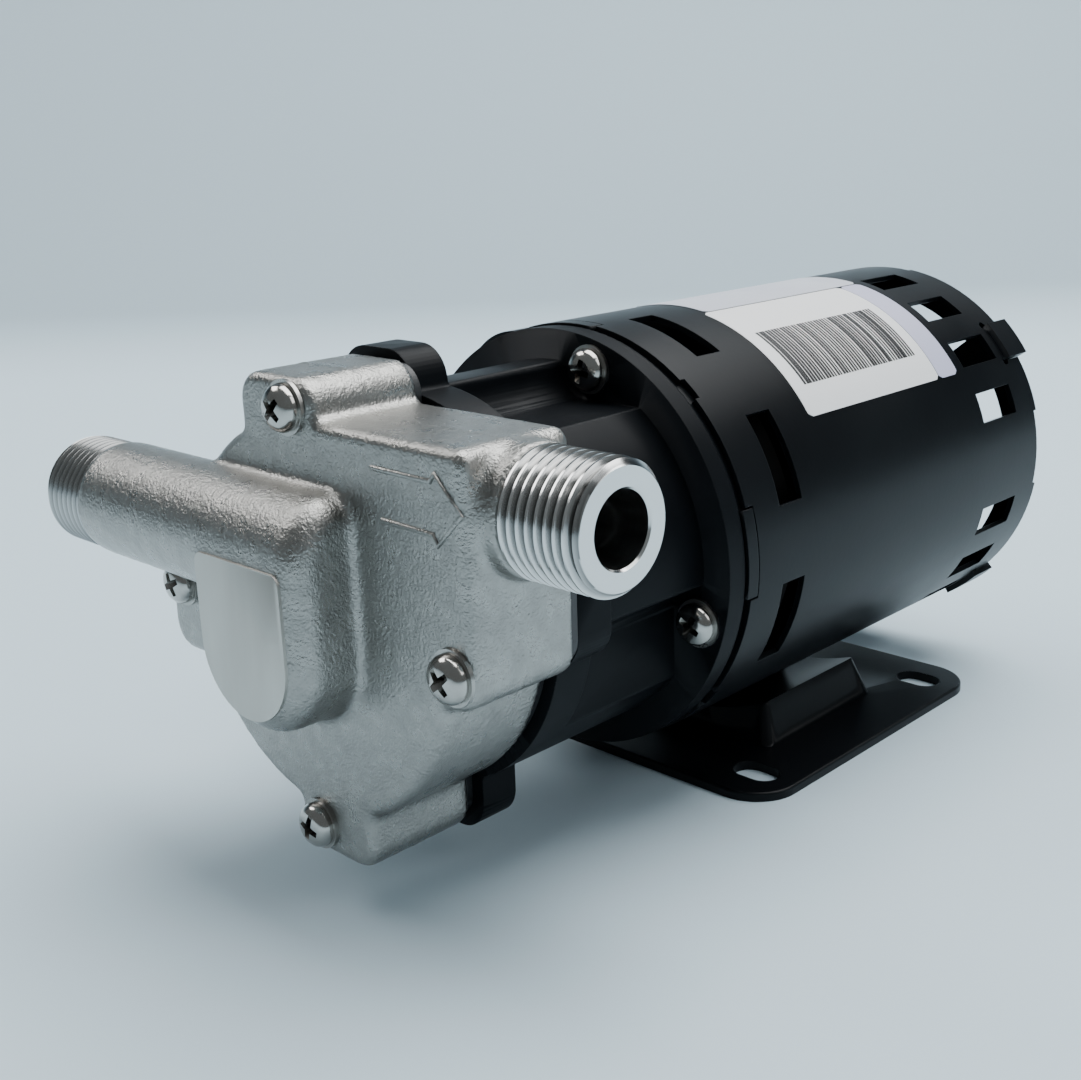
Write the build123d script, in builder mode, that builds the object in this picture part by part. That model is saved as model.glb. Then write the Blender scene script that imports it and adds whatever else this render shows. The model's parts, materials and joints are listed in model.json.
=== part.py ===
from build123d import *
from math import cos, hypot, radians, sin
import os

# Magnetic drive pump: a cast stainless head, a moulded bracket with the magnetic coupling inside it,
# and a small open motor on a pressed steel foot.
# Millimetres. X runs across the pump towards the outlet, Y along the shaft from the head to the motor's
# rear, Z up. The origin is the centre of the foot's four slots, on the face that the foot stands on.

# Main places
axis_height = 52.0
head_face_to_origin = 119.5

# Fits
shaft_clearance = 0.05
seated_fit = 0.02
slip_clearance = 0.3
screw_clearance = 0.25
running_gap = 1.0

# Pump head casting
head_depth = 22.3
head_disc_r = 35.0
lug_width = 20.4
lug_offset = 3.9
lug_reach = 43.2
top_lug_reach = 42.4
lug_corner_r = 5.0
outline_fillet_r = 1.7
head_edge_r = 1.8
discharge_side = 41.7
discharge_corner_r = 2.5
screw_circle_r = 37.5
chamber_r = 27.5
chamber_front = 8.0
seal_groove_r = 29.2
seal_groove_width = 2.6
seal_groove_depth = 2.2

# Ports: half-inch pipe threads outside, round bores inside
thread_r = 10.48
thread_mouth_r = 9.3
port_bore_r = 5.9
outlet_end = 61.0
outlet_thread_length = 15.5
outlet_height = 24.65
outlet_depth = 12.8
boss_r = 10.7
discharge_rise = 0.2
inlet_end = 65.5
inlet_thread_length = 13.7
inlet_height = 14.2
inlet_forward = 1.7
inlet_pipe_r = 10.85
inlet_stop = 6.0

# Elbow block on the head's face, with its machined pad
elbow_half_width = 15.0
elbow_edge_r = 5.0
elbow_low_centre = 1.5
pad_half_width = 11.8
pad_stands_out = 0.5
pad_corner_r = 2.0
elbow_set_back = 0.1
eye_r = 7.2
elbow_passage_r = 6.0
elbow_front_wall = 3.6
post_r = 4.2
post_length = 16.0
post_socket_depth = 12.0

# Separator can between the wet side and the magnets
can_flange = 2.0
can_inset = 1.0
can_inner_r = 16.6
can_wall = 1.8
can_length = 34.2
can_end_wall = 2.5
can_boss_r = 5.8
can_boss_length = 3.0

# Impeller and its driven magnet, on a fixed ceramic pin
pin_r = 2.5
bush_wall = 3.0
washer_thickness = 1.6
washer_width = 2.0
impeller_r = 26.0
impeller_eye_r = 10.5
impeller_front = 9.2
shroud_thickness = 1.6
vane_height = 5.6
vane_thickness = 1.8
vane_count = 6
vane_inner_r = 9.8
vane_sweep = 52.0
back_plate_thickness = 2.2
hub_wall = 1.4
neck_r = 13.0
neck_length = 5.4
magnet_housing_r = 16.0
magnet_housing_length = 26.0
magnet_pocket_wall = 1.2
magnet_pocket_front = 2.0
magnet_cap_thickness = 1.5

# Moulded bracket
bracket_flange = 8.2
bracket_inset = 1.0
ear_proud = 1.1
ear_width = 19.0
ear_offset = 6.5
side_ear_width = 22.5
side_ear_offset = 4.7
ear_corner_r = 6.3
ear_hollow_r = 0.9
body_r = 36.5
body_length = 30.3
bracket_bore_r = 27.2
pocket_floor = 29.4
pocket_ledge = 2.3
pocket_edge_r = 1.2
pocket_corner_r = 5.5
motor_flange_r = 42.4
motor_flange = 5.3
motor_flange_edge_r = 0.9
flange_screw_r = 36.7
flange_screw_angle = 75.0

# Screws: pan heads on thin washers
screw_r = 2.0
screw_head_r = 4.1
screw_head_height = 2.7
flat_washer_r = 4.7
flat_washer_thickness = 0.7
head_screw_grip = 8.0
flange_screw_grip = 6.0

# Drive magnets in their steel cup
cup_r = 25.4
cup_wall = 2.9
cup_floor = 2.6
cup_hub_r = 9.5
cup_hub_length = 6.2
cup_front_gap = 1.5
cup_lip = 0.8
drive_magnet_count = 6
drive_magnet_arc = 52.0
drive_magnet_length = 26.0
drive_magnet_air = 0.9
grub_screw_r = 2.0
shaft_set_back = 1.0

# Motor
shell_r = 42.8
shell_wall = 1.2
shell_gap = 1.1
shell_length = 114.9
shield_plate = 3.0
shield_rim_length = 7.0
shield_rim_wall = 3.0
shield_hub_r = 14.5
shield_hole_r = 8.0
screw_boss_r = 4.7
screw_boss_length = 8.0
shield_ear_arc = 22.6
shield_ear_angle = 4.6
crimp_arc = 6.4
crimp_angle = 49.5
crimp_depth = 1.3
vent_front = 10.0
vent_length = 7.3
vent_arc = 24.5
vent_angle = 26.25
window_end = 9.6
window_length = 15.5
window_arc = 9.2
window_pitch = 18.0
window_angle = 3.0
rim_relief_arc = 24.0
rim_relief = 1.2
shaft_r = 4.0
rotor_seat_r = 5.6
shaft_flat = 0.5
bearing_r = 11.0
bearing_width = 7.0
bearing_inner_r = 6.4
bearing_race_wall = 2.4
bearing_seal_thickness = 0.6
bearing_seal_recess = 0.3
bearing_seal_gap = 0.1
rotor_r = 22.1
air_gap = 0.4
stack_length = 40.0
stack_from_shield = 29.0
stator_slot_count = 12
stator_slot_width = 7.0
stator_slot_from = 1.9
stator_slot_depth = 9.5
slot_mouth = 2.2
end_turn_length = 10.0
end_turn_wall = 12.5
end_ring_length = 3.4
end_ring_inner_r = 12.0
end_ring_inset = 1.6
end_turn_edge = 3.0
fan_r = 31.0
fan_hub_r = 9.0
fan_plate = 1.6
fan_blade_height = 7.0
fan_blade_thickness = 1.4
fan_blade_count = 9
fan_behind_stack = 12.5
clip_r = 7.2
clip_groove_depth = 0.6
clip_opening = 5.0
clip_thickness = 1.0
bracket_ring_inner_r = 37.2
bracket_ring_length = 5.0
rear_hub_r = 14.0
rear_arm_width = 9.0
rear_ear_arc = 12.4
rear_ear_angle = 39.5
rear_ear_proud = 1.3
rear_ear_reach = 2.4
rear_ear_depth = 6.0
relief_hole_r = 1.1

# Pressed foot
foot_width = 82.2
foot_end_margin = 10.4
foot_sheet = 2.0
foot_corner_r = 10.0
foot_edge_r = 0.6
slot_spacing_x = 63.0
slot_spacing_y = 65.0
slot_width = 7.2
slot_length = 10.4
saddle_width = 56.0
saddle_length = 43.0
saddle_set_forward = 1.9
saddle_wrap = 2.8
saddle_slope = 4.3
saddle_gap = 3.2
saddle_top_r = 62.0
saddle_corner_r = 2.5
saddle_ridge_r = 1.0
weld_rib_width = 12.0
weld_rib_length = 30.0

# Terminal box on the motor's left side
box_front = 25.8
box_length = 64.2
box_outer = 61.0
box_top = 34.5
box_bottom = 20.0
box_corner_r = 18.0
box_wall = 2.2
box_lid_depth = 5.0
lid_screw_r = 1.5
lid_screw_inset = 8.0
lid_screw_head_r = 2.9
lid_screw_head_height = 1.9
lid_screw_grip = 7.0
lid_column_r = 3.4
box_fixing_head_r = 2.6
box_fixing_pad = 0.6
box_fixing_reach = 2.4
box_fixing_spacing = 15.0
box_entry_from_end = 12.6
gland_floor = 36.6
gland_height = 22.0
gland_thread_r = 5.0
gland_nut_width = 14.0
gland_hex_length = 5.0
gland_dome_r = 7.0
gland_dome_length = 11.0
gland_bore_r = 3.2
lock_nut_width = 12.0
lock_nut_thickness = 3.0
capacitor_room = 1.3
capacitor_length = 34.0
capacitor_lean = 41.0
capacitor_from_end = 8.0
block_width = 9.0
block_lid_room = 2.8
block_length = 26.0
block_seat_out = 44.0
block_up = 17.0
block_from_end = 5.0
block_edge = 1.0
block_well_r = 1.7
block_well_depth = 3.0
block_well_pitch = 8.0
grommet_r = 3.2
grommet_wall = 1.2
grommet_lip = 1.0

# Stations along the shaft, worked out from the sizes above
head_front = -head_face_to_origin
head_back = head_front + head_depth
bracket_front = head_back + can_flange
ear_back = bracket_front + bracket_flange
flange_seat = ear_back + body_length
bracket_back = flange_seat + motor_flange
shell_front = bracket_back + shell_gap
shell_back = shell_front + shell_length
can_back = head_back + can_length
impeller_start = head_front + impeller_front
vane_start = impeller_start + shroud_thickness
back_plate_start = vane_start + vane_height
neck_start = back_plate_start + back_plate_thickness
housing_start = neck_start + neck_length
housing_back = housing_start + magnet_housing_length
elbow_front = head_front - inlet_forward - inlet_pipe_r
post_front = elbow_front + elbow_front_wall
post_back = post_front + post_length
pin_front = post_back - post_socket_depth
boss_front = can_back - can_end_wall - can_boss_length
pin_back = can_back - can_end_wall
cup_floor_front = can_back + running_gap
cup_floor_back = cup_floor_front + cup_floor
cup_hub_back = cup_floor_back + cup_hub_length
shaft_front = cup_floor_front + shaft_set_back
front_bearing_front = bracket_back + shield_plate
stack_front = bracket_back + stack_from_shield
stack_back = stack_front + stack_length
fan_front = stack_back + fan_behind_stack
fan_back = fan_front + fan_plate + fan_blade_height
rear_ring_back = shell_back - rim_relief
rear_ring_front = rear_ring_back - bracket_ring_length
rear_bearing_back = rear_ring_back - shield_plate
rear_bearing_front = rear_bearing_back - bearing_width
shaft_back = rear_ring_back
foot_end = slot_spacing_y / 2 + foot_end_margin
saddle_height = axis_height - shell_r + saddle_wrap
box_front_y = shell_front + box_front
box_back_y = box_front_y + box_length

# Radii and heights that follow from them
shell_inner_r = shell_r - shell_wall
bush_inner_r = pin_r + shaft_clearance
bush_r = bush_inner_r + bush_wall
hub_r = bush_r + hub_wall
can_outer_r = can_inner_r + can_wall
stator_bore_r = rotor_r + air_gap
slot_from_r = stator_bore_r + stator_slot_from
end_turn_inner_r = slot_from_r + slip_clearance
discharge_top = outlet_height + boss_r + discharge_rise
box_split = box_outer - box_lid_depth
box_middle = (box_top - box_bottom) / 2
box_floor_r = shell_r + box_wall
gland_out = (box_outer + gland_floor) / 2
capacitor_r = (box_outer - box_wall - box_floor_r) / 2 - capacitor_room
block_height = box_outer - box_wall - block_lid_room - block_seat_out
window_angles = [window_angle + window_pitch * number for number in range(20) if number % 5]
pump_axis = Axis((0, 0, axis_height), (0, 1, 0))

# A profile to be revolved is drawn on this plane: its x is the station along the shaft and its y the
# radius.
length_plane = Plane(origin=(0, 0, axis_height), x_dir=(0, 1, 0), z_dir=(1, 0, 0))

os.makedirs("parts", exist_ok=True)


def across(y):
    """A plane across the shaft at station y, seen from the pump's front."""
    return Plane(origin=(0, y, axis_height), x_dir=(1, 0, 0), z_dir=(0, -1, 0))


def across_width(x):
    """A plane square to the width; its x is the station and its y the height over the shaft axis."""
    return Plane(origin=(x, 0, axis_height), x_dir=(0, 1, 0), z_dir=(1, 0, 0))


def facing_out(radius, angle):
    """A plane that faces away from the shaft at an angle; its x is the station."""
    outward = (cos(radians(angle)), 0, sin(radians(angle)))
    origin = (radius * outward[0], 0, axis_height + radius * outward[2])
    return Plane(origin=origin, x_dir=(0, 1, 0), z_dir=outward)


def save(part, name):
    """Label a finished piece and write it out."""
    part.label = name
    export_step(part, f"parts/{name}.step")


def turned(*outline, mode=Mode.ADD):
    """Add or cut a closed outline of (station, radius) corners revolved about the shaft axis."""
    with BuildSketch(length_plane) as profile:
        with BuildLine():
            Polyline(*outline, close=True)
        make_face()
    revolve(profile.sketch, axis=pump_axis, mode=mode)


def ring(front, back, inner_r, outer_r, mode=Mode.ADD):
    """Add or cut a ring, or a disc where the inner radius is nothing, between two stations."""
    with BuildSketch(across(front)) as profile:
        Circle(outer_r)
        if inner_r > 0:
            Circle(inner_r, mode=Mode.SUBTRACT)
    extrude(profile.sketch, amount=front - back, mode=mode)


def arc_blocks(front, back, inner_r, outer_r, arc, angles, mode=Mode.ADD):
    """Add or cut parts of a ring, each centred on an angle measured from +X towards the top."""
    with BuildSketch(across(front)) as profile:
        for angle in angles:
            with BuildLine():
                outer = CenterArc((0, 0), outer_r, angle - arc / 2, arc)
                inner = CenterArc((0, 0), inner_r, angle - arc / 2, arc)
                Line(outer @ 0, inner @ 0)
                Line(outer @ 1, inner @ 1)
            make_face()
    extrude(profile.sketch, amount=front - back, mode=mode)


def round_the_shaft(radius, first_angle, count, y):
    """Places round the shaft at station y that turn local +Z towards the pump's front."""
    places = []
    for number in range(count):
        angle = radians(first_angle + number * 360 / count)
        centre = (radius * cos(angle), y, axis_height + radius * sin(angle))
        places.append(Location(centre, (90, 0, 0)))
    return places


def quarters(first_angle):
    """Four angles, a quarter turn apart."""
    return [first_angle + 90 * number for number in range(4)]


def screw(length, shank_r, head_r, head_height):
    """A pan head screw, its seat at the origin and its shank along -Z."""
    with BuildPart(mode=Mode.PRIVATE) as one_screw:
        with BuildSketch(Plane.XZ):
            with BuildLine():
                Polyline(
                    (0, head_height), (0, -length), (shank_r, -length), (shank_r, 0),
                    (head_r, 0), (head_r, head_height * 0.3),
                )
                crown = ThreePointArc(
                    (head_r, head_height * 0.3),
                    (head_r * 0.78, head_height * 0.82),
                    (head_r * 0.3, head_height),
                )
                Line(crown @ 1, (0, head_height))
            make_face()
        revolve(axis=Axis.Z)
    return one_screw.part


def lugs(reaches, widths, offsets, corner_r):
    """Sketch four screw lugs, from the right one on; widths and offsets go by turns."""
    for number in range(4):
        with Locations(Location((0, 0, 0), (0, 0, 90 * number))):
            with Locations((0, offsets[number % 2])):
                RectangleRounded(
                    reaches[number],
                    widths[number % 2],
                    corner_r,
                    align=(Align.MIN, Align.CENTER),
                )


def soften_hollows(within, radius):
    """Round the sketch's hollow corners, which lie closer to the middle than a distance."""
    corners = [corner for corner in vertices() if hypot(corner.X, corner.Y) < within]
    fillet(corners, radius=radius)


def casting_outline(inset=0.0):
    """Sketch the disc and lugs of the pump head and of the can's flange."""
    reaches = (discharge_side, top_lug_reach, lug_reach, lug_reach)
    Circle(head_disc_r - inset)
    lugs(
        [reach - inset for reach in reaches],
        (lug_width - 2 * inset, lug_width - 2 * inset),
        (lug_offset, lug_offset),
        lug_corner_r,
    )


def elbow_outline(half_width, top):
    """Sketch the elbow block's outline: level top, straight sides and a round lower end."""
    low = -elbow_low_centre
    with BuildLine() as outline:
        Polyline((-half_width, low), (-half_width, top), (half_width, top), (half_width, low))
        ThreePointArc((half_width, low), (0, low - half_width), (-half_width, low))
    make_face(outline.edges())


def screw_holes(front, back, hole_r):
    """Cut the four head screws' holes between two stations."""
    with BuildSketch(across(front)) as holes:
        with PolarLocations(screw_circle_r, 4):
            Circle(hole_r)
    extrude(holes.sketch, amount=front - back, mode=Mode.SUBTRACT)


# The elbow block on the head's face, kept apart so that its front edges are rounded before it joins
elbow_face = elbow_front + elbow_set_back
with BuildPart() as elbow_block:
    with BuildSketch(across(head_front + head_edge_r)):
        elbow_outline(elbow_half_width, inlet_height)
    extrude(amount=head_front + head_edge_r - elbow_face)
    front_edges = elbow_block.faces().sort_by(Axis.Y)[0].edges().sort_by(Axis.Z)[:-1]
    fillet(front_edges, radius=elbow_edge_r)
    with BuildSketch(across(elbow_face + elbow_edge_r)):
        elbow_outline(pad_half_width, inlet_height - elbow_set_back)
        fillet(vertices().group_by(Axis.Y)[-1], radius=pad_corner_r)
    extrude(amount=elbow_face + elbow_edge_r - elbow_front + pad_stands_out)

# The head: one stainless casting with screw lugs, the discharge corner and both threaded ports
outlet_y = head_front + outlet_depth
inlet_y = head_front - inlet_forward
with BuildPart() as pump_head:
    with BuildSketch(across(head_front)):
        casting_outline()
        with Locations((discharge_side / 2, discharge_top / 2)):
            RectangleRounded(discharge_side, discharge_top, discharge_corner_r)
        valley = hypot(lug_width / 2 - lug_offset, discharge_top)
        soften_hollows(valley + 0.4, outline_fillet_r)
    extrude(amount=-head_depth)
    fillet(pump_head.faces().sort_by(Axis.Y)[0].edges(), radius=head_edge_r)
    with BuildSketch(across_width(discharge_side / 2)):
        with Locations((outlet_y, outlet_height)):
            Circle(boss_r)
    extrude(amount=outlet_end - outlet_thread_length - discharge_side / 2)
    with BuildSketch(across_width(outlet_end - outlet_thread_length)):
        with Locations((outlet_y, outlet_height)):
            Circle(thread_r)
    extrude(amount=outlet_thread_length)
    chamfer(pump_head.faces().sort_by(Axis.X)[-1].edges(), length=thread_r - thread_mouth_r)
    # the boss ends level with the face that seats on the can's flange
    with BuildSketch(across(head_back)):
        Rectangle(4 * lug_reach, 4 * lug_reach)
    extrude(amount=-head_depth, mode=Mode.SUBTRACT)
    # the inlet pipe crosses the face and ends over the eye
    with BuildSketch(
        Plane(origin=(0, inlet_y, axis_height + inlet_height), x_dir=(1, 0, 0), z_dir=(0, -1, 0))
    ):
        thread_end = -inlet_end + inlet_thread_length
        with BuildLine():
            pipe_side = FilletPolyline(
                (thread_end, inlet_pipe_r),
                (elbow_half_width, inlet_pipe_r),
                (elbow_half_width, 0),
                radius=elbow_edge_r,
            )
            Polyline(pipe_side @ 1, (thread_end, 0), pipe_side @ 0)
        make_face()
    revolve(axis=Axis((0, inlet_y, axis_height + inlet_height), (1, 0, 0)))
    with BuildSketch(across_width(thread_end)):
        with Locations((inlet_y, inlet_height)):
            Circle(thread_r)
    extrude(amount=-inlet_thread_length)
    chamfer(pump_head.faces().sort_by(Axis.X)[0].edges(), length=thread_r - thread_mouth_r)
    add(elbow_block.part)
    # passages: inlet bore, the drop to the eye, the eye, the impeller's chamber and the outlet bore
    with BuildSketch(across_width(-inlet_end)):
        with Locations((inlet_y, inlet_height)):
            Circle(port_bore_r)
    extrude(amount=inlet_end + inlet_stop, mode=Mode.SUBTRACT)
    with BuildSketch(Plane.XY.offset(axis_height)):
        with Locations((0, inlet_y)):
            Circle(elbow_passage_r)
    extrude(amount=inlet_height, mode=Mode.SUBTRACT)
    ring(post_front, head_front + chamber_front, 0, eye_r, mode=Mode.SUBTRACT)
    ring(head_front + chamber_front, head_back, 0, chamber_r, mode=Mode.SUBTRACT)
    with BuildSketch(across_width(0)):
        with Locations((outlet_y, outlet_height)):
            Circle(port_bore_r)
    extrude(amount=outlet_end, mode=Mode.SUBTRACT)
    groove_outer_r = seal_groove_r + seal_groove_width
    ring(head_back - seal_groove_depth, head_back, seal_groove_r, groove_outer_r, Mode.SUBTRACT)
    screw_holes(head_front, head_back, screw_r + screw_clearance)
    screw_holes(elbow_front, head_front, flat_washer_r + slip_clearance)
    # a post on the elbow's front wall holds the ceramic pin's front end
    ring(post_front, post_back, 0, post_r)
    ring(pin_front, post_back, 0, pin_r + seated_fit, mode=Mode.SUBTRACT)
save(pump_head.part, "pump_head")

# The seal that sits in the head's groove and is pinched by the can's flange
with BuildPart() as head_o_ring:
    seal_r = seal_groove_r + seal_groove_width / 2
    seal_section_r = seal_groove_depth / 2
    with BuildSketch(length_plane):
        with Locations((head_back - seal_section_r, seal_r)):
            Circle(seal_section_r)
    revolve(axis=pump_axis)
save(head_o_ring.part, "head_o_ring")

# Separator can: a flange with the head's disc and lugs, and a closed cup round the driven magnet
with BuildPart() as separator_can:
    with BuildSketch(across(head_back)):
        casting_outline(inset=can_inset)
        soften_hollows(head_disc_r, outline_fillet_r)
    extrude(amount=-can_flange)
    ring(head_back, can_back, 0, can_outer_r)
    ring(head_back, boss_front, 0, can_inner_r, mode=Mode.SUBTRACT)
    ring(boss_front, pin_back, can_boss_r, can_inner_r, mode=Mode.SUBTRACT)
    ring(boss_front, pin_back, 0, pin_r + seated_fit, mode=Mode.SUBTRACT)
    screw_holes(head_back, bracket_front, screw_r + screw_clearance)
    end_rim = separator_can.faces().sort_by(Axis.Y)[-1].edges()
    chamfer(end_rim, length=can_wall / 2)
save(separator_can.part, "separator_can")

# The fixed ceramic pin with its two thrust washers
with BuildPart() as impeller_shaft:
    ring(pin_front, pin_back, 0, pin_r)
    chamfer(impeller_shaft.edges(), length=0.3)
save(impeller_shaft.part, "impeller_shaft")

bush_front = post_back + washer_thickness
with BuildPart() as front_thrust_washer:
    ring(post_back, bush_front, bush_inner_r, pin_r + washer_width)
save(front_thrust_washer.part, "front_thrust_washer")

with BuildPart() as rear_thrust_washer:
    ring(boss_front - washer_thickness, boss_front, bush_inner_r, pin_r + washer_width)
save(rear_thrust_washer.part, "rear_thrust_washer")

# Closed impeller: front shroud with the eye, backward-curved vanes, back plate, neck and magnet housing
pocket_front = housing_start + magnet_pocket_front
cap_front = housing_back - magnet_cap_thickness
pocket_outer_r = magnet_housing_r - magnet_pocket_wall
nose_start = vane_start + shroud_thickness
bush_back = boss_front - washer_thickness - running_gap
with BuildPart() as impeller:
    ring(impeller_start, vane_start, impeller_eye_r, impeller_r)
    with BuildSketch(across(vane_start)):
        for number in range(vane_count):
            start = number * 360 / vane_count
            points = []
            for step in range(4):
                radius = vane_inner_r + (impeller_r - vane_thickness / 2 - vane_inner_r) * step / 3
                angle = radians(start + vane_sweep * (step / 3) ** 1.2)
                points.append((radius * cos(angle), radius * sin(angle)))
            with BuildLine() as camber:
                Spline(*points)
            trace(camber.edges(), line_width=vane_thickness)
        Circle(vane_inner_r, mode=Mode.SUBTRACT)
    extrude(amount=-vane_height)
    turned(
        (nose_start, bush_r + seated_fit),
        (nose_start, hub_r),
        (back_plate_start, vane_inner_r),
        (back_plate_start, impeller_r),
        (neck_start, impeller_r),
        (neck_start, neck_r),
        (housing_start, neck_r),
        (housing_start, magnet_housing_r),
        (housing_back, magnet_housing_r),
        (housing_back, pocket_outer_r),
        (pocket_front, pocket_outer_r),
        (pocket_front, hub_r),
        (housing_back, hub_r),
        (housing_back, bush_r + seated_fit),
    )
save(impeller.part, "impeller")

with BuildPart() as impeller_bush:
    ring(bush_front + slip_clearance, bush_back, bush_inner_r, bush_r)
    chamfer(impeller_bush.edges().filter_by(GeomType.CIRCLE), length=0.3)
save(impeller_bush.part, "impeller_bush")

with BuildPart() as driven_magnet:
    ring(pocket_front, cap_front - slip_clearance, hub_r + seated_fit, pocket_outer_r - seated_fit)
save(driven_magnet.part, "driven_magnet")

with BuildPart() as magnet_cap:
    ring(cap_front, housing_back, hub_r + seated_fit, pocket_outer_r - seated_fit)
save(magnet_cap.part, "magnet_cap")

# Head screws through head and can into the bracket, on flat washers
with BuildPart() as head_screws:
    shank = head_depth + can_flange + head_screw_grip + flat_washer_thickness
    one_screw = screw(shank, screw_r, screw_head_r, screw_head_height)
    with Locations(*round_the_shaft(screw_circle_r, 0, 4, head_front - flat_washer_thickness)):
        add(one_screw)
save(head_screws.part, "head_screws")

with BuildPart() as head_screw_washers:
    with BuildSketch(across(head_front - flat_washer_thickness)):
        with PolarLocations(screw_circle_r, 4):
            Circle(flat_washer_r)
            Circle(screw_r + seated_fit, mode=Mode.SUBTRACT)
    extrude(amount=-flat_washer_thickness)
save(head_screw_washers.part, "head_screw_washers")

# Moulded bracket: head flange, cylinder with a flat pocket at each flange screw, round motor flange
with BuildPart() as adapter_bracket:
    with BuildSketch(across(bracket_front)):
        Circle(head_disc_r - bracket_inset)
        lugs(
            (
                discharge_side - can_inset + seated_fit,
                top_lug_reach + ear_proud,
                lug_reach + ear_proud,
                lug_reach + ear_proud,
            ),
            (side_ear_width, ear_width),
            (side_ear_offset, ear_offset),
            ear_corner_r,
        )
        soften_hollows(head_disc_r - bracket_inset / 2, ear_hollow_r)
    extrude(amount=-bracket_flange)
    ring(bracket_front, flange_seat, 0, body_r)
    with BuildSketch(across(ear_back)):
        with PolarLocations(0, 4):
            with Locations((pocket_floor, -pocket_ledge)):
                RectangleRounded(
                    body_r, body_r, pocket_corner_r, align=(Align.MIN, Align.MAX)
                )
    extrude(amount=-body_length, mode=Mode.SUBTRACT)
    fillet(adapter_bracket.edges().filter_by(Axis.Y), radius=pocket_edge_r)
    ring(flange_seat, bracket_back, 0, motor_flange_r)
    rim = adapter_bracket.faces().sort_by(Axis.Y)[-1].edges()
    fillet(rim, radius=motor_flange_edge_r)
    ring(bracket_front, bracket_back, 0, bracket_bore_r, mode=Mode.SUBTRACT)
    screw_holes(bracket_front, ear_back, screw_r + seated_fit)
    with BuildSketch(across(flange_seat)):
        with PolarLocations(flange_screw_r, 4, start_angle=flange_screw_angle):
            Circle(screw_r + screw_clearance)
    extrude(amount=-motor_flange, mode=Mode.SUBTRACT)
save(adapter_bracket.part, "adapter_bracket")

flange_screw_seat = flange_seat - flat_washer_thickness
with BuildPart() as adapter_screws:
    shank = flat_washer_thickness + motor_flange + flange_screw_grip
    one_screw = screw(shank, screw_r, screw_head_r, screw_head_height)
    with Locations(*round_the_shaft(flange_screw_r, flange_screw_angle, 4, flange_screw_seat)):
        add(one_screw)
save(adapter_screws.part, "adapter_screws")

with BuildPart() as adapter_screw_washers:
    with BuildSketch(across(flange_screw_seat)):
        with PolarLocations(flange_screw_r, 4, start_angle=flange_screw_angle):
            Circle(flat_washer_r)
            Circle(screw_r + seated_fit, mode=Mode.SUBTRACT)
    extrude(amount=-flat_washer_thickness)
save(adapter_screw_washers.part, "adapter_screw_washers")

# The drive side of the coupling: a steel cup on the motor shaft with six magnet segments inside it
cup_front = bracket_front + cup_front_gap
cup_inner_r = cup_r - cup_wall
grub_y = (cup_floor_back + cup_hub_back) / 2
shaft_flat_at = shaft_r - shaft_flat
with BuildPart() as drive_cup:
    turned(
        (cup_front, cup_inner_r),
        (cup_front, cup_r),
        (cup_floor_back, cup_r),
        (cup_floor_back, cup_hub_r),
        (cup_hub_back, cup_hub_r),
        (cup_hub_back, shaft_r + seated_fit),
        (cup_floor_front, shaft_r + seated_fit),
        (cup_floor_front, cup_inner_r),
    )
    outer_rims = drive_cup.edges().filter_by(GeomType.CIRCLE).group_by(SortBy.RADIUS)[-1]
    chamfer(outer_rims, length=0.5)
    with BuildSketch(across_width(0)):
        with Locations((grub_y, 0)):
            Circle(grub_screw_r + seated_fit)
    extrude(amount=cup_hub_r, mode=Mode.SUBTRACT)
save(drive_cup.part, "drive_cup")

with BuildPart() as drive_magnets:
    magnet_front = cup_front + cup_lip
    arc_blocks(
        magnet_front,
        magnet_front + drive_magnet_length,
        can_outer_r + drive_magnet_air,
        cup_inner_r - seated_fit,
        drive_magnet_arc,
        [number * 360 / drive_magnet_count for number in range(drive_magnet_count)],
    )
save(drive_magnets.part, "drive_magnets")

with BuildPart() as drive_cup_set_screw:
    grub_back = cup_hub_r - seated_fit
    with BuildSketch(across_width(shaft_flat_at + seated_fit)):
        with Locations((grub_y, 0)):
            Circle(grub_screw_r)
    extrude(amount=grub_back - shaft_flat_at)
    with BuildSketch(across_width(cup_hub_r)):
        with Locations((grub_y, 0)):
            RegularPolygon(grub_screw_r / 2, 6)
    extrude(amount=-grub_screw_r, mode=Mode.SUBTRACT)
save(drive_cup_set_screw.part, "drive_cup_set_screw")

# Motor shaft with bearing seats, a larger seat for the rotor and fan, and a flat under the set screw
with BuildPart() as motor_shaft:
    clip_front = fan_back + seated_fit
    clip_back = clip_front + clip_thickness
    groove_r = rotor_seat_r - clip_groove_depth
    turned(
        (shaft_front, 0),
        (shaft_front, shaft_r),
        (front_bearing_front + bearing_width, shaft_r),
        (front_bearing_front + bearing_width, rotor_seat_r),
        (clip_front, rotor_seat_r),
        (clip_front, groove_r),
        (clip_back + seated_fit, groove_r),
        (clip_back + seated_fit, rotor_seat_r),
        (rear_bearing_front, rotor_seat_r),
        (rear_bearing_front, shaft_r),
        (shaft_back, shaft_r),
        (shaft_back, 0),
    )
    ends = motor_shaft.edges().filter_by(GeomType.CIRCLE).sort_by(Axis.Y)
    chamfer([ends[0], ends[-1]], length=0.5)
    with BuildSketch(across_width(shaft_flat_at)):
        with Locations((shaft_front, 0)):
            Rectangle(cup_hub_back - shaft_front, 2 * shaft_r, align=(Align.MIN, Align.CENTER))
    extrude(amount=shaft_r, mode=Mode.SUBTRACT)
save(motor_shaft.part, "motor_shaft")

with BuildPart() as rotor_core:
    ring(stack_front, stack_back, rotor_seat_r + seated_fit, rotor_r)
save(rotor_core.part, "rotor_core")

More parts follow.
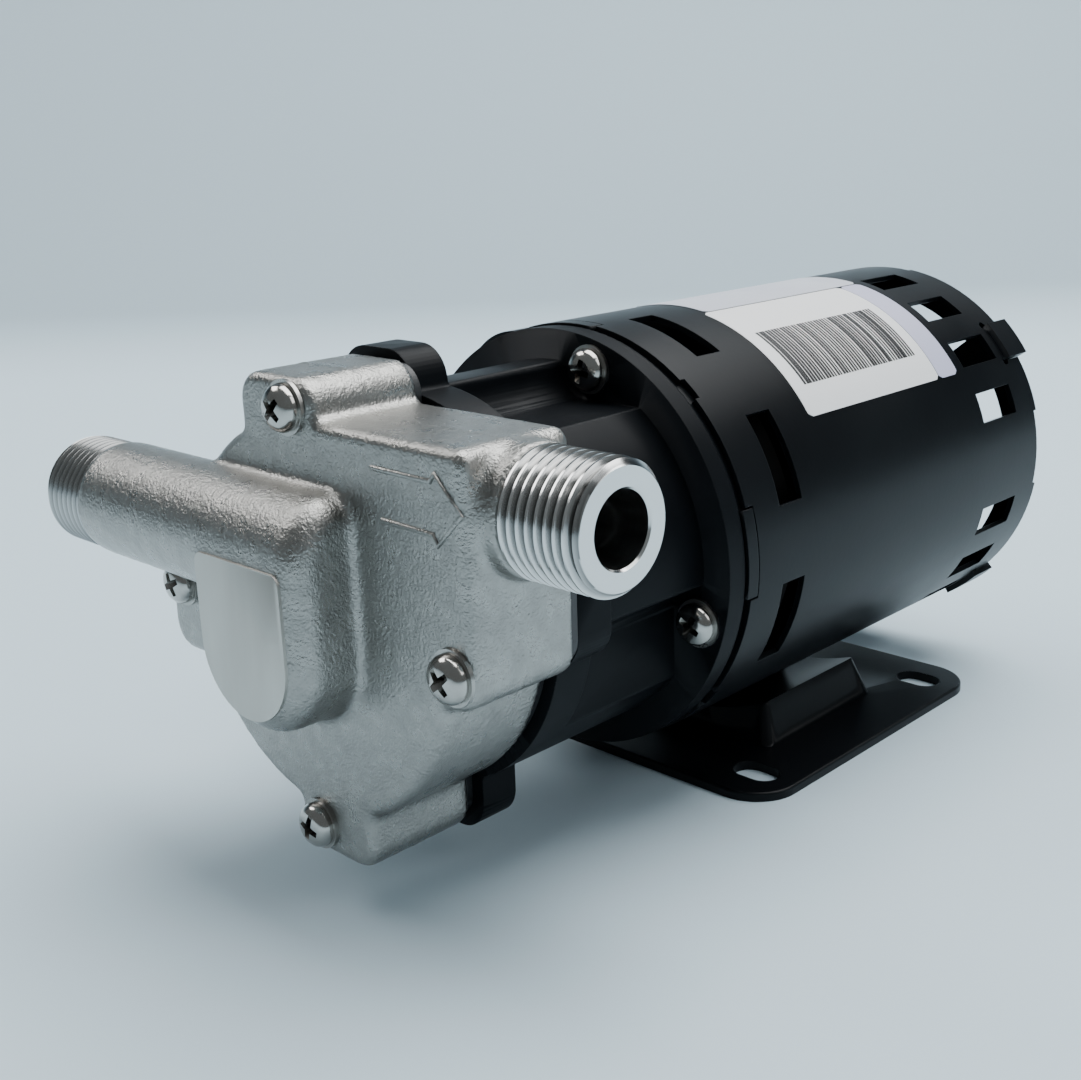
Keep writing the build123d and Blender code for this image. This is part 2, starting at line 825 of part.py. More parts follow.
with BuildPart() as rotor_end_rings:
    ring_outer_r = rotor_r - end_ring_inset
    ring(stack_front - end_ring_length, stack_front, end_ring_inner_r, ring_outer_r)
    ring(stack_back, stack_back + end_ring_length, end_ring_inner_r, ring_outer_r)
save(rotor_end_rings.part, "rotor_end_rings")

# Cooling fan behind the windings, held by a spring clip in the shaft's groove
with BuildPart() as cooling_fan:
    ring(fan_front, fan_front + fan_plate, fan_hub_r, fan_r)
    ring(fan_front, fan_back, rotor_seat_r + seated_fit, fan_hub_r)
    with BuildSketch(across(fan_front)):
        with PolarLocations(0, fan_blade_count):
            with Locations((fan_hub_r - 1, 0)):
                Rectangle(
                    fan_r - fan_hub_r + 0.5, fan_blade_thickness, align=(Align.MIN, Align.CENTER)
                )
    extrude(amount=-(fan_plate + fan_blade_height))
save(cooling_fan.part, "cooling_fan")

with BuildPart() as fan_clip:
    ring(clip_front + seated_fit, clip_back, groove_r + seated_fit, clip_r)
    with BuildSketch(across(clip_front)):
        Rectangle(clip_opening, clip_r, align=(Align.CENTER, Align.MAX))
    extrude(amount=-2 * clip_thickness, mode=Mode.SUBTRACT)
save(fan_clip.part, "fan_clip")


def bearing_outer(front):
    """A bearing's outer race with a seal in each side."""
    race_r = bearing_r - bearing_race_wall
    seal_r = bearing_inner_r + bearing_seal_gap
    seal_front = front + bearing_seal_recess
    seal_back = front + bearing_width - bearing_seal_recess
    ring(front, front + bearing_width, race_r, bearing_r)
    ring(seal_front, seal_front + bearing_seal_thickness, seal_r, race_r)
    ring(seal_back - bearing_seal_thickness, seal_back, seal_r, race_r)


with BuildPart() as front_bearing_outer:
    bearing_outer(front_bearing_front)
save(front_bearing_outer.part, "front_bearing_outer")

with BuildPart() as rear_bearing_outer:
    bearing_outer(rear_bearing_front)
save(rear_bearing_outer.part, "rear_bearing_outer")

with BuildPart() as bearing_inner_races:
    inner_r = shaft_r + seated_fit
    ring(front_bearing_front, front_bearing_front + bearing_width, inner_r, bearing_inner_r)
    ring(rear_bearing_front, rear_bearing_back, inner_r, bearing_inner_r)
save(bearing_inner_races.part, "bearing_inner_races")

# Stator: a slotted core pressed into the shell, and its windings with a rounded bundle at each end
with BuildPart() as stator_core:
    with BuildSketch(across(stack_front)):
        Circle(shell_inner_r - seated_fit)
        Circle(stator_bore_r, mode=Mode.SUBTRACT)
        with PolarLocations(0, stator_slot_count):
            with Locations((slot_from_r, 0)):
                Rectangle(
                    stator_slot_depth,
                    stator_slot_width,
                    align=(Align.MIN, Align.CENTER),
                    mode=Mode.SUBTRACT,
                )
            Rectangle(
                slot_from_r, slot_mouth, align=(Align.MIN, Align.CENTER), mode=Mode.SUBTRACT
            )
    extrude(amount=-stack_length)
save(stator_core.part, "stator_core")

with BuildPart() as stator_windings:
    end_turn_outer_r = end_turn_inner_r + end_turn_wall
    ring(stack_front - end_turn_length, stack_front, end_turn_inner_r, end_turn_outer_r)
    ring(stack_back, stack_back + end_turn_length, end_turn_inner_r, end_turn_outer_r)
    end_faces = stator_windings.faces().filter_by(GeomType.PLANE).sort_by(Axis.Y)
    chamfer([*end_faces[0].edges(), *end_faces[-1].edges()], length=end_turn_edge)
    with BuildSketch(across(stack_front)):
        with PolarLocations(0, stator_slot_count):
            with Locations((end_turn_inner_r + slip_clearance, 0)):
                Rectangle(
                    stator_slot_depth - 3 * slip_clearance,
                    stator_slot_width - 2 * slip_clearance,
                    align=(Align.MIN, Align.CENTER),
                )
    extrude(amount=-stack_length)
save(stator_windings.part, "stator_windings")

# Front end shield: plate with four ears, rim inside the shell, bearing hub and tapped screw bosses
with BuildPart() as front_end_shield:
    plate_back = bracket_back + shield_plate
    hub_back = front_bearing_front + bearing_width
    rim_r = shell_inner_r - seated_fit
    ring(bracket_back, plate_back, shield_hole_r, rim_r)
    arc_blocks(
        bracket_back, plate_back, rim_r - 1, shell_r, shield_ear_arc, quarters(shield_ear_angle)
    )
    ring(plate_back, plate_back + shield_rim_length, rim_r - shield_rim_wall, rim_r)
    with BuildSketch(across(plate_back)):
        with PolarLocations(flange_screw_r, 4, start_angle=flange_screw_angle):
            Circle(screw_boss_r)
    extrude(amount=-screw_boss_length)
    ring(plate_back, hub_back, bearing_r + seated_fit, shield_hub_r)
    with BuildSketch(across(bracket_back)):
        with PolarLocations(flange_screw_r, 4, start_angle=flange_screw_angle):
            Circle(screw_r + seated_fit)
    extrude(amount=-shield_plate - screw_boss_length, mode=Mode.SUBTRACT)
save(front_end_shield.part, "front_end_shield")

# Rear end bracket: ring inside the shell, four arms, bearing hub and four ears in the shell's notches
ear_front = shell_back - rear_ear_depth
with BuildPart() as rear_end_bracket:
    ring(rear_ring_front, rear_ring_back, bracket_ring_inner_r, rim_r)
    with BuildSketch(across(rear_ring_front)):
        with PolarLocations(0, 4, start_angle=rear_ear_angle):
            with Locations((rear_hub_r - 1, 0)):
                Rectangle(
                    bracket_ring_inner_r - rear_hub_r + 2,
                    rear_arm_width,
                    align=(Align.MIN, Align.CENTER),
                )
    extrude(amount=-bracket_ring_length)
    ring(rear_bearing_front, rear_ring_back, 0, rear_hub_r)
    arc_blocks(
        ear_front,
        shell_back + rear_ear_reach,
        bracket_ring_inner_r,
        shell_r + rear_ear_proud,
        rear_ear_arc,
        quarters(rear_ear_angle),
    )
    ring(rear_bearing_front, rear_bearing_back, 0, bearing_r + seated_fit, mode=Mode.SUBTRACT)
    ring(rear_bearing_back, rear_ring_back, 0, shield_hole_r, mode=Mode.SUBTRACT)
save(rear_end_bracket.part, "rear_end_bracket")

# Motor shell: rolled tube with front slots, rear windows, notches for the ears and the box's holes
entry_y = box_back_y - box_entry_from_end
fixing_ys = [entry_y - box_fixing_spacing / 2, entry_y + box_fixing_spacing / 2]
with BuildPart() as motor_shell:
    ring(shell_front, shell_back, shell_inner_r, shell_r)
    cut_inner_r = shell_inner_r - 1
    cut_outer_r = shell_r + 1
    ear_arc = shield_ear_arc + 1.2
    ear_notch_back = plate_back + slip_clearance
    cut = Mode.SUBTRACT
    ear_angles = quarters(shield_ear_angle)
    arc_blocks(shell_front, ear_notch_back, cut_inner_r, cut_outer_r, ear_arc, ear_angles, cut)
    crimp_back = shell_front + crimp_depth
    crimp_angles = quarters(crimp_angle)
    arc_blocks(shell_front, crimp_back, cut_inner_r, cut_outer_r, crimp_arc, crimp_angles, cut)
    vent_start = shell_front + vent_front
    vent_back = vent_start + vent_length
    vent_angles = [vent_angle + 45 * number for number in range(8)]
    arc_blocks(vent_start, vent_back, cut_inner_r, cut_outer_r, vent_arc, vent_angles, cut)
    window_back = shell_back - window_end
    window_start = window_back - window_length
    arc_blocks(window_start, window_back, cut_inner_r, cut_outer_r, window_arc, window_angles, cut)
    relief_angles = quarters(window_angle)
    arc_blocks(
        rear_ring_back, shell_back, cut_inner_r, cut_outer_r, rim_relief_arc, relief_angles, cut
    )
    rear_arc = rear_ear_arc + 0.8
    rear_notch = ear_front - slip_clearance
    rear_angles = quarters(rear_ear_angle)
    arc_blocks(rear_notch, shell_back, cut_inner_r, cut_outer_r, rear_arc, rear_angles, cut)
    # small round holes end each notch's two front corners
    for angle in rear_angles:
        for side in (angle - rear_arc / 2, angle + rear_arc / 2):
            with BuildSketch(facing_out(cut_inner_r, side)):
                with Locations((rear_notch, 0)):
                    Circle(relief_hole_r)
            extrude(amount=shell_wall + 2, mode=Mode.SUBTRACT)
    with BuildSketch(across_width(-shell_r - 1)):
        with Locations(*[(y, 0) for y in fixing_ys]):
            Circle(lid_screw_r + seated_fit)
        with Locations((entry_y, 0)):
            Circle(grommet_r + seated_fit)
    extrude(amount=shell_wall + 2, mode=Mode.SUBTRACT)
save(motor_shell.part, "motor_shell")

# Pressed foot: plate with four slots, a hollow saddle with a concave top, and the weld rib on it
saddle_top_centre = axis_height - shell_r - saddle_gap + saddle_top_r


def saddle_form(inset, height):
    """The saddle's tapered form, its sides set in by a distance."""
    base = (saddle_width - 2 * inset, saddle_length - 2 * inset)
    with BuildPart(mode=Mode.PRIVATE) as form:
        with BuildSketch(Plane.XY) as low:
            with Locations((0, -saddle_set_forward)):
                RectangleRounded(*base, saddle_corner_r)
        with BuildSketch(Plane.XY.offset(height)) as high:
            with Locations((0, -saddle_set_forward)):
                RectangleRounded(
                    base[0] - 2 * saddle_slope * height / saddle_height,
                    base[1] - 2 * saddle_slope * height / saddle_height,
                    saddle_corner_r - saddle_ridge_r,
                )
        loft([low.sketch, high.sketch])
        with BuildSketch(Plane.XZ.offset(-foot_end)) as hollow:
            with Locations((0, saddle_top_centre)):
                Circle(saddle_top_r + inset)
        extrude(hollow.sketch, amount=2 * foot_end, mode=Mode.SUBTRACT)
    return form.part


with BuildPart() as mounting_foot:
    with BuildSketch(Plane.XY):
        RectangleRounded(foot_width, 2 * foot_end, foot_corner_r)
    extrude(amount=foot_sheet)
    fillet(mounting_foot.faces().sort_by(Axis.Z)[-1].edges(), radius=foot_edge_r)
    add(saddle_form(0, saddle_height))
    with BuildSketch(Plane.XY.offset(saddle_top_centre - saddle_top_r - foot_sheet)):
        with Locations((0, -saddle_set_forward)):
            Rectangle(weld_rib_width, weld_rib_length)
    extrude(amount=saddle_gap + foot_sheet + shell_wall)
    add(saddle_form(foot_sheet, saddle_height), mode=Mode.SUBTRACT)
    ring(-foot_end, foot_end, 0, shell_r + seated_fit, mode=Mode.SUBTRACT)
    with BuildSketch(Plane.XY):
        with GridLocations(slot_spacing_x, slot_spacing_y, 2, 2):
            SlotOverall(slot_length, slot_width)
    extrude(amount=foot_sheet, mode=Mode.SUBTRACT)
save(mounting_foot.part, "mounting_foot")


def box_profile(inset=0.0):
    """Sketch the terminal box's outline across the shaft, its outer corners widely rounded."""
    with Locations((inset - box_outer, inset - box_bottom)):
        Rectangle(
            box_outer - inset, box_top + box_bottom - 2 * inset, align=(Align.MIN, Align.MIN)
        )
    fillet(vertices().group_by(Axis.X)[0], radius=box_corner_r - inset)


lid_screw_ys = [box_front_y + lid_screw_inset, box_back_y - lid_screw_inset]
fixing_seat = box_floor_r + box_fixing_pad
# Terminal box: its floor follows the shell; inside are screw columns and a seat for the block
with BuildPart() as terminal_box:
    with BuildSketch(across(box_front_y)):
        box_profile()
    extrude(amount=-box_length)
    split(bisect_by=Plane(origin=(-box_split, 0, 0), z_dir=(1, 0, 0)), keep=Keep.TOP)
    with BuildSketch(across(box_front_y + box_wall)):
        box_profile(box_wall)
        Circle(box_floor_r, mode=Mode.SUBTRACT)
        with Locations((-box_floor_r / 2, -box_floor_r / 2)):
            Rectangle(box_floor_r, box_floor_r / 2, mode=Mode.SUBTRACT)
    extrude(amount=-(box_length - 2 * box_wall), mode=Mode.SUBTRACT)
    with BuildSketch(across_width(-box_split)):
        with Locations(*[(y, box_middle) for y in lid_screw_ys]):
            Circle(lid_column_r)
    extrude(amount=box_split - shell_r)
    with BuildSketch(across_width(-block_seat_out)):
        with Locations((box_front_y + block_from_end, block_up)):
            Rectangle(block_length, block_width, align=(Align.MIN, Align.CENTER))
    extrude(amount=block_seat_out / 3)
    with BuildSketch(across_width(-fixing_seat)):
        with Locations(*[(y, 0) for y in fixing_ys]):
            Circle(box_fixing_head_r + slip_clearance)
    extrude(amount=fixing_seat - shell_r)
    ring(box_front_y, box_back_y, 0, shell_r + seated_fit, mode=Mode.SUBTRACT)
    with BuildSketch(across_width(-box_split)):
        with Locations(*[(y, box_middle) for y in lid_screw_ys]):
            Circle(lid_screw_r + seated_fit)
    extrude(amount=lid_screw_grip + 1, mode=Mode.SUBTRACT)
    with BuildSketch(across_width(-fixing_seat)):
        with Locations(*[(y, 0) for y in fixing_ys]):
            Circle(lid_screw_r + screw_clearance)
        with Locations((entry_y, 0)):
            Circle(grommet_r + seated_fit)
    extrude(amount=fixing_seat, mode=Mode.SUBTRACT)
    with BuildSketch(across(box_back_y)):
        with Locations((-gland_out, gland_height)):
            Circle(gland_thread_r + seated_fit)
    extrude(amount=box_wall, mode=Mode.SUBTRACT)
save(terminal_box.part, "terminal_box")

with BuildPart() as terminal_box_lid:
    with BuildSketch(across(box_front_y)):
        box_profile()
    extrude(amount=-box_length)
    split(bisect_by=Plane(origin=(-box_split, 0, 0), z_dir=(1, 0, 0)), keep=Keep.BOTTOM)
    with BuildSketch(across(box_front_y + box_wall)):
        box_profile(box_wall)
    extrude(amount=-(box_length - 2 * box_wall), mode=Mode.SUBTRACT)
    with BuildSketch(across_width(-box_split)):
        with Locations(*[(y, box_middle) for y in lid_screw_ys]):
            Circle(lid_column_r)
    extrude(amount=-box_lid_depth + box_wall)
    with BuildSketch(across_width(-box_outer)):
        with Locations(*[(y, box_middle) for y in lid_screw_ys]):
            Circle(lid_screw_r + screw_clearance)
    extrude(amount=box_lid_depth, mode=Mode.SUBTRACT)
save(terminal_box_lid.part, "terminal_box_lid")

with BuildPart() as lid_screws:
    one_screw = screw(
        box_lid_depth + lid_screw_grip, lid_screw_r, lid_screw_head_r, lid_screw_head_height
    )
    seats = [(-box_outer, y, axis_height + box_middle) for y in lid_screw_ys]
    with Locations(*[Location(seat, (0, -90, 0)) for seat in seats]):
        add(one_screw)
save(lid_screws.part, "lid_screws")

with BuildPart() as box_fixing_screws:
    one_screw = screw(
        fixing_seat - shell_r + box_fixing_reach,
        lid_screw_r,
        box_fixing_head_r,
        lid_screw_head_height,
    )
    seats = [(-fixing_seat, y, axis_height) for y in fixing_ys]
    with Locations(*[Location(seat, (0, -90, 0)) for seat in seats]):
        add(one_screw)
save(box_fixing_screws.part, "box_fixing_screws")

# Cable gland through the box's rear wall, its lock nut inside
with BuildPart() as cable_gland:
    thread_front = box_back_y - box_wall - lock_nut_thickness - 1
    hex_back = box_back_y + gland_hex_length
    with BuildSketch(across(thread_front)):
        with Locations((-gland_out, gland_height)):
            Circle(gland_thread_r)
    extrude(amount=thread_front - box_back_y)
    with BuildSketch(across(box_back_y)):
        with Locations((-gland_out, gland_height)):
            RegularPolygon(gland_nut_width / 2, 6, major_radius=False, rotation=30)
    extrude(amount=-gland_hex_length)
    with BuildSketch(across(hex_back)):
        with Locations((-gland_out, gland_height)):
            Circle(gland_dome_r)
    extrude(amount=-gland_dome_length)
    fillet(cable_gland.faces().sort_by(Axis.Y)[-1].edges(), radius=gland_dome_r / 2)
    with BuildSketch(across(thread_front)):
        with Locations((-gland_out, gland_height)):
            Circle(gland_bore_r)
    extrude(amount=-box_length, mode=Mode.SUBTRACT)
save(cable_gland.part, "cable_gland")

with BuildPart() as gland_lock_nut:
    with BuildSketch(across(box_back_y - box_wall - lock_nut_thickness)):
        with Locations((-gland_out, gland_height)):
            RegularPolygon(lock_nut_width / 2, 6, major_radius=False, rotation=30)
            Circle(gland_thread_r + seated_fit, mode=Mode.SUBTRACT)
    extrude(amount=-lock_nut_thickness)
save(gland_lock_nut.part, "gland_lock_nut")

# Inside the box: the run capacitor on the bottom and the terminal block on its seat
with BuildPart() as run_capacitor:
    # it lies against the inside of the box's lower rounded corner
    rests_at = box_corner_r - box_wall - capacitor_r - seated_fit
    capacitor_out = box_outer - box_corner_r + rests_at * cos(radians(capacitor_lean))
    capacitor_down = box_bottom - box_corner_r + rests_at * sin(radians(capacitor_lean))
    with BuildSketch(across(box_front_y + capacitor_from_end)):
        with Locations((-capacitor_out, -capacitor_down)):
            Circle(capacitor_r)
    extrude(amount=-capacitor_length)
    fillet(run_capacitor.edges().filter_by(GeomType.CIRCLE), radius=0.8)
save(run_capacitor.part, "run_capacitor")

with BuildPart() as terminal_block:
    block_y = box_front_y + block_from_end + block_length / 2
    with BuildSketch(across_width(-block_seat_out - seated_fit)):
        with Locations((block_y, block_up)):
            Rectangle(block_length, block_width)
    extrude(amount=-block_height)
    chamfer(terminal_block.faces().sort_by(Axis.X)[0].edges(), length=block_edge)
    with BuildSketch(Plane(terminal_block.faces().sort_by(Axis.X)[0])):
        with Locations((-block_well_pitch, 0), (0, 0), (block_well_pitch, 0)):
            Circle(block_well_r)
    extrude(amount=-block_well_depth, mode=Mode.SUBTRACT)
save(terminal_block.part, "terminal_block")

with BuildPart() as wire_grommet:
    lip_r = grommet_r + grommet_lip
    floor_seat = box_floor_r + seated_fit
    inside_seat = shell_inner_r - slip_clearance
    for start, length, radius in (
        (-floor_seat - grommet_lip, grommet_lip, lip_r),
        (-floor_seat, floor_seat - inside_seat, grommet_r),
        (-inside_seat, grommet_lip, lip_r),
    ):
        with BuildSketch(across_width(start)):
            with Locations((entry_y, 0)):
                Circle(radius)
                Circle(grommet_r - grommet_wall, mode=Mode.SUBTRACT)
        extrude(amount=length)
save(wire_grommet.part, "wire_grommet")
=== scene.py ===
import json
import math

import bmesh
import bpy
import numpy as np
from mathutils import Matrix, Vector, noise

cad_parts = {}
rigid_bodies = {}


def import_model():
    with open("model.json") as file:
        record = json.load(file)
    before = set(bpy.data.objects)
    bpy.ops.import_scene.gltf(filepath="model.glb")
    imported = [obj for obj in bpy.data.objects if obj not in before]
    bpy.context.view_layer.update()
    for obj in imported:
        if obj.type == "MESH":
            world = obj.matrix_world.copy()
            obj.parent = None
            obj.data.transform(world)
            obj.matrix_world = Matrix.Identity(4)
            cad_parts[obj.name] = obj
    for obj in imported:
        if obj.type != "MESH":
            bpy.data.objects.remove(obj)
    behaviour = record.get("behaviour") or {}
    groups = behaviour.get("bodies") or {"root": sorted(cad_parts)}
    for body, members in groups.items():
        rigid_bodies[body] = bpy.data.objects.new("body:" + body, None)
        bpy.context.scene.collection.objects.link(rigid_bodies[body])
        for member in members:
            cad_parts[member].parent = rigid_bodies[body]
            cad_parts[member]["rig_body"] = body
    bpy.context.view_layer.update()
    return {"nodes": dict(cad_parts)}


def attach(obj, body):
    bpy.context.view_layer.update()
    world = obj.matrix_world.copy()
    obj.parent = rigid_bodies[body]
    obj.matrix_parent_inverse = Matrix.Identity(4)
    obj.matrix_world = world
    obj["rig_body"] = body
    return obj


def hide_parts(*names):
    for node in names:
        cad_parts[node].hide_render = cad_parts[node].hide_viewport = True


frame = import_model()

# The camera stands right of the pump's front and a little above it, where the photograph was taken.
# Its place and lens come from the screws, the outlet's rings and the motor's edges there.
scene = bpy.context.scene
camera_place = Vector((0.18742, -0.25076, 0.13283))
turn_left = math.radians(44.81)
look_down = math.radians(16.66)
tilt = math.radians(-1.99)
forward = Vector(
    (
        -math.sin(turn_left) * math.cos(look_down),
        math.cos(turn_left) * math.cos(look_down),
        -math.sin(look_down),
    )
)
level_right = Vector((math.cos(turn_left), math.sin(turn_left), 0))
level_up = level_right.cross(forward)
right = level_right * math.cos(tilt) + level_up * math.sin(tilt)
up = level_up * math.cos(tilt) - level_right * math.sin(tilt)
camera_data = bpy.data.cameras.new("camera")
camera_data.sensor_width = 36.0
camera_data.lens = 46.72
camera_data.clip_start = 0.01
camera_data.clip_end = 20.0
camera = bpy.data.objects.new("camera", camera_data)
scene.collection.objects.link(camera)
camera.matrix_world = Matrix(
    (
        (right.x, up.x, -forward.x, camera_place.x),
        (right.y, up.y, -forward.y, camera_place.y),
        (right.z, up.z, -forward.z, camera_place.z),
        (0, 0, 0, 1),
    )
)
scene.camera = camera


# A sheet of pale card lies under the pump and rises behind it in one wide curve, as in a small
# photo studio. Large soft lights hang over it, and the room itself gives a cool, even light.
def linked(name, mesh, material=None):
    """An object in the scene with a mesh, and with one material where it is given."""
    piece = bpy.data.objects.new(name, mesh)
    scene.collection.objects.link(piece)
    if material is not None:
        mesh.materials.clear()
        mesh.materials.append(material)
    return piece


def finish_of(name, color, roughness, metallic=0.0):
    """A material with plain values on its shader; returns it with its node tree and shader."""
    material = bpy.data.materials.new(name)
    material.use_nodes = True
    tree = material.node_tree
    shader = tree.nodes["Principled BSDF"]
    shader.inputs["Base Color"].default_value = (*color, 1)
    shader.inputs["Roughness"].default_value = roughness
    shader.inputs["Metallic"].default_value = metallic
    return material, tree, shader


card_reach, card_flat, card_bend, bend_steps = 3.0, 0.45, 0.55, 24


def swept_card():
    """The sheet's mesh: flat from the viewer to behind the pump, then bent up to a wall."""
    card = bmesh.new()
    profile = [(-card_reach, 0.0), (card_flat, 0.0)]
    for step in range(1, bend_steps + 1):
        angle = math.radians(90 * step / bend_steps)
        run, rise = card_bend * math.sin(angle), card_bend - card_bend * math.cos(angle)
        profile.append((card_flat + run, rise))
    profile.append((card_flat + card_bend, card_reach))
    away = Vector((-math.sin(turn_left), math.cos(turn_left), 0))
    rows = []
    for distance, height in profile:
        centre = away * distance + Vector((0, 0, height))
        sides = [level_right * side for side in (-card_reach, card_reach)]
        rows.append([card.verts.new(centre + side) for side in sides])
    for near, far in zip(rows, rows[1:]):
        card.faces.new((near[0], near[1], far[1], far[0])).smooth = True
    mesh = bpy.data.meshes.new("card")
    card.to_mesh(mesh)
    return mesh


def shade_stops(ramp, *stops):
    """Sets the places and colours of a Color Ramp's stops."""
    (first, first_color), *between, (last, last_color) = stops
    ends = ramp.color_ramp.elements
    ends[0].position, ends[1].position = first, last
    ends[0].color, ends[1].color = (*first_color, 1), (*last_color, 1)
    for place, color in between:
        ends.new(place).color = (*color, 1)


card_material, card_tree, card_shader = finish_of("pale_card", (0.62, 0.68, 0.72), 0.6)
card_noise = card_tree.nodes.new("ShaderNodeTexNoise")
card_noise.inputs["Scale"].default_value = 3.0
card_mix = card_tree.nodes.new("ShaderNodeMix")
card_mix.data_type = "RGBA"
card_mix.inputs[6].default_value = (0.56, 0.70, 0.78, 1)
card_mix.inputs[7].default_value = (0.60, 0.74, 0.82, 1)
# painted shade: the sheet's colour is darkened where it rises, and darker still above the picture,
# where it would be in less light
card_height = card_tree.nodes.new("ShaderNodeSeparateXYZ")
card_painted_shade = card_tree.nodes.new("ShaderNodeValToRGB")
shade_stops(
    card_painted_shade,
    (0, (1, 1, 1)),
    (0.04, (0.60, 0.62, 0.63)),
    (0.55, (0.66, 0.68, 0.69)),
    (0.8, (0.28, 0.29, 0.30)),
    (1, (0.10, 0.11, 0.12)),
)
card_shade = card_tree.nodes.new("ShaderNodeMix")
card_shade.data_type = "RGBA"
card_shade.blend_type = "MULTIPLY"
card_shade.inputs[0].default_value = 1.0
card_scale = card_tree.nodes.new("ShaderNodeMapRange")
card_scale.inputs["From Max"].default_value = card_bend
for start, end in (
    (card_tree.nodes.new("ShaderNodeTexCoord").outputs["Object"], card_height.inputs[0]),
    (card_height.outputs["Z"], card_scale.inputs["Value"]),
    (card_scale.outputs[0], card_painted_shade.inputs["Fac"]),
    (card_noise.outputs["Fac"], card_mix.inputs[0]),
    (card_mix.outputs[2], card_shade.inputs[6]),
    (card_painted_shade.outputs["Color"], card_shade.inputs[7]),
    (card_shade.outputs[2], card_shader.inputs["Base Color"]),
):
    card_tree.links.new(start, end)
floor = linked("floor", swept_card(), card_material)

world = bpy.data.worlds.new("room")
scene.world = world
world.use_nodes = True
room = world.node_tree.nodes["Background"]
room.inputs["Strength"].default_value = 0.36
room_new, room_link = world.node_tree.nodes.new, world.node_tree.links.new
room_way = room_new("ShaderNodeSeparateXYZ")
room_shade = room_new("ShaderNodeValToRGB")
shade_stops(
    room_shade, (0.45, (0.42, 0.46, 0.47)), (0.68, (0.50, 0.55, 0.57)), (1, (0.50, 0.55, 0.58))
)
room_height = room_new("ShaderNodeMapRange")
room_height.inputs["From Min"].default_value = -1.0
room_link(room_new("ShaderNodeTexCoord").outputs["Generated"], room_way.inputs[0])
room_link(room_way.outputs["Z"], room_height.inputs["Value"])
room_link(room_height.outputs[0], room_shade.inputs["Fac"])
room_link(room_shade.outputs["Color"], room.inputs["Color"])


def soft_light(name, place, target, size, power, color):
    """A rectangular light at a place, turned towards a target; its power is in watts."""
    data = bpy.data.lights.new(name, "AREA")
    data.shape = "RECTANGLE"
    data.size, data.size_y = size
    data.energy = power
    data.color = color
    light = bpy.data.objects.new(name, data)
    scene.collection.objects.link(light)
    light.location = place
    light.rotation_mode = "QUATERNION"
    aim = Vector(target) - Vector(place)
    light.rotation_quaternion = aim.to_track_quat("-Z", "Y")


soft_light("ceiling", (0.0, 0.5, 1.4), (0, 0, 0.05), (1.5, 1.5), 44.0, (0.97, 0.99, 1.0))
soft_light("left_window", (-1.0, -0.4, 1.1), (0, -0.05, 0.05), (0.8, 0.6), 9.0, (1.0, 1.0, 1.0))
soft_light("back_window", (-0.75, 0.9, 0.9), (0, 0, 0.05), (0.8, 0.6), 22.0, (0.98, 0.99, 1.0))
soft_light("right_fill", (0.85, 0.3, 0.8), (0, 0.02, 0.05), (0.6, 0.6), 3.0, (0.95, 0.98, 1.0))


# The pump head is one piece of cast stainless steel: a disc with four lugs, a square corner for the
# outlet, and the elbow block with the inlet pipe. Cast in a ceramic mould and blasted clean, it has
# filled corners, a dimpled skin and a faint parting line.
nodes = frame["nodes"]
steady = "pump_frame"
mm = 0.001
shaft_height = 0.052
head_front, head_middle = -119.5 * mm, -108.6 * mm
chamber_r = 28.5 * mm
screw_circle_r, screw_seat_r = 37.5 * mm, 7 * mm
quarter_turns = (0, 90, 180, 270)
outlet_seat, inlet_seat = 45.4 * mm, -51.7 * mm
pad_front, pad_back = -132.55 * mm, -132.3 * mm
casting_grid = 0.6 * mm
ease_rounds, ease_share = 2, 0.5
fill_rounds, fill_share = 10, 0.6
face_depth = 0.5 * mm
coarse_dimples, fine_dimples, coarse_share = 420, 950, 0.55
dimple_height = 0.05 * mm
parting_height, parting_width = 0.13 * mm, 0.4 * mm
chamber_wall, side_lean = 2 * mm, 0.35
weld_reach = 0.001 * mm


def skin_of(node):
    """A CAD node's skin, its loose triangles joined up."""
    skin = bmesh.new()
    skin.from_mesh(nodes[node].data)
    bmesh.ops.remove_doubles(skin, verts=skin.verts, dist=weld_reach)
    return skin


def mesh_from(skin, name, sharp=None):
    """A mesh from a skin, smooth between the edges that are sharper than an angle in degrees."""
    mesh = bpy.data.meshes.new(name)
    skin.to_mesh(mesh)
    skin.free()
    if sharp is not None:
        mesh.shade_smooth()
        mesh.set_sharp_from_angle(angle=math.radians(sharp))
    return mesh


def cut_away(skin, point, outward):
    """Takes off what lies beyond a plane and closes the cut."""
    everything = skin.verts[:] + skin.edges[:] + skin.faces[:]
    cut = bmesh.ops.bisect_plane(
        skin, geom=everything, plane_co=point, plane_no=outward, clear_outer=True
    )
    rim = [part for part in cut["geom_cut"] if isinstance(part, bmesh.types.BMEdge)]
    bmesh.ops.triangle_fill(skin, edges=rim, use_beauty=True)


def with_modifier(piece, kind, **settings):
    """The mesh that a piece has with one modifier on it."""
    modifier = piece.modifiers.new(kind, kind)
    for setting, value in settings.items():
        setattr(modifier, setting, value)
    bpy.context.view_layer.update()
    shown = piece.evaluated_get(bpy.context.evaluated_depsgraph_get())
    mesh = bpy.data.meshes.new_from_object(shown)
    piece.modifiers.remove(modifier)
    return mesh


def fitted(piece, body, slot, *stands_for):
    """Fastens a piece to its body and hides the nodes that it stands for; the slot that names its
    finish is not used.
    """
    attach(piece, body)
    if stands_for:
        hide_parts(*stands_for)
    return piece


def points_of(mesh, what="co"):
    """A mesh's points, or its normals, as rows of an array."""
    values = np.empty(len(mesh.vertices) * 3)
    mesh.vertices.foreach_get(what, values)
    return values.reshape(-1, 3)


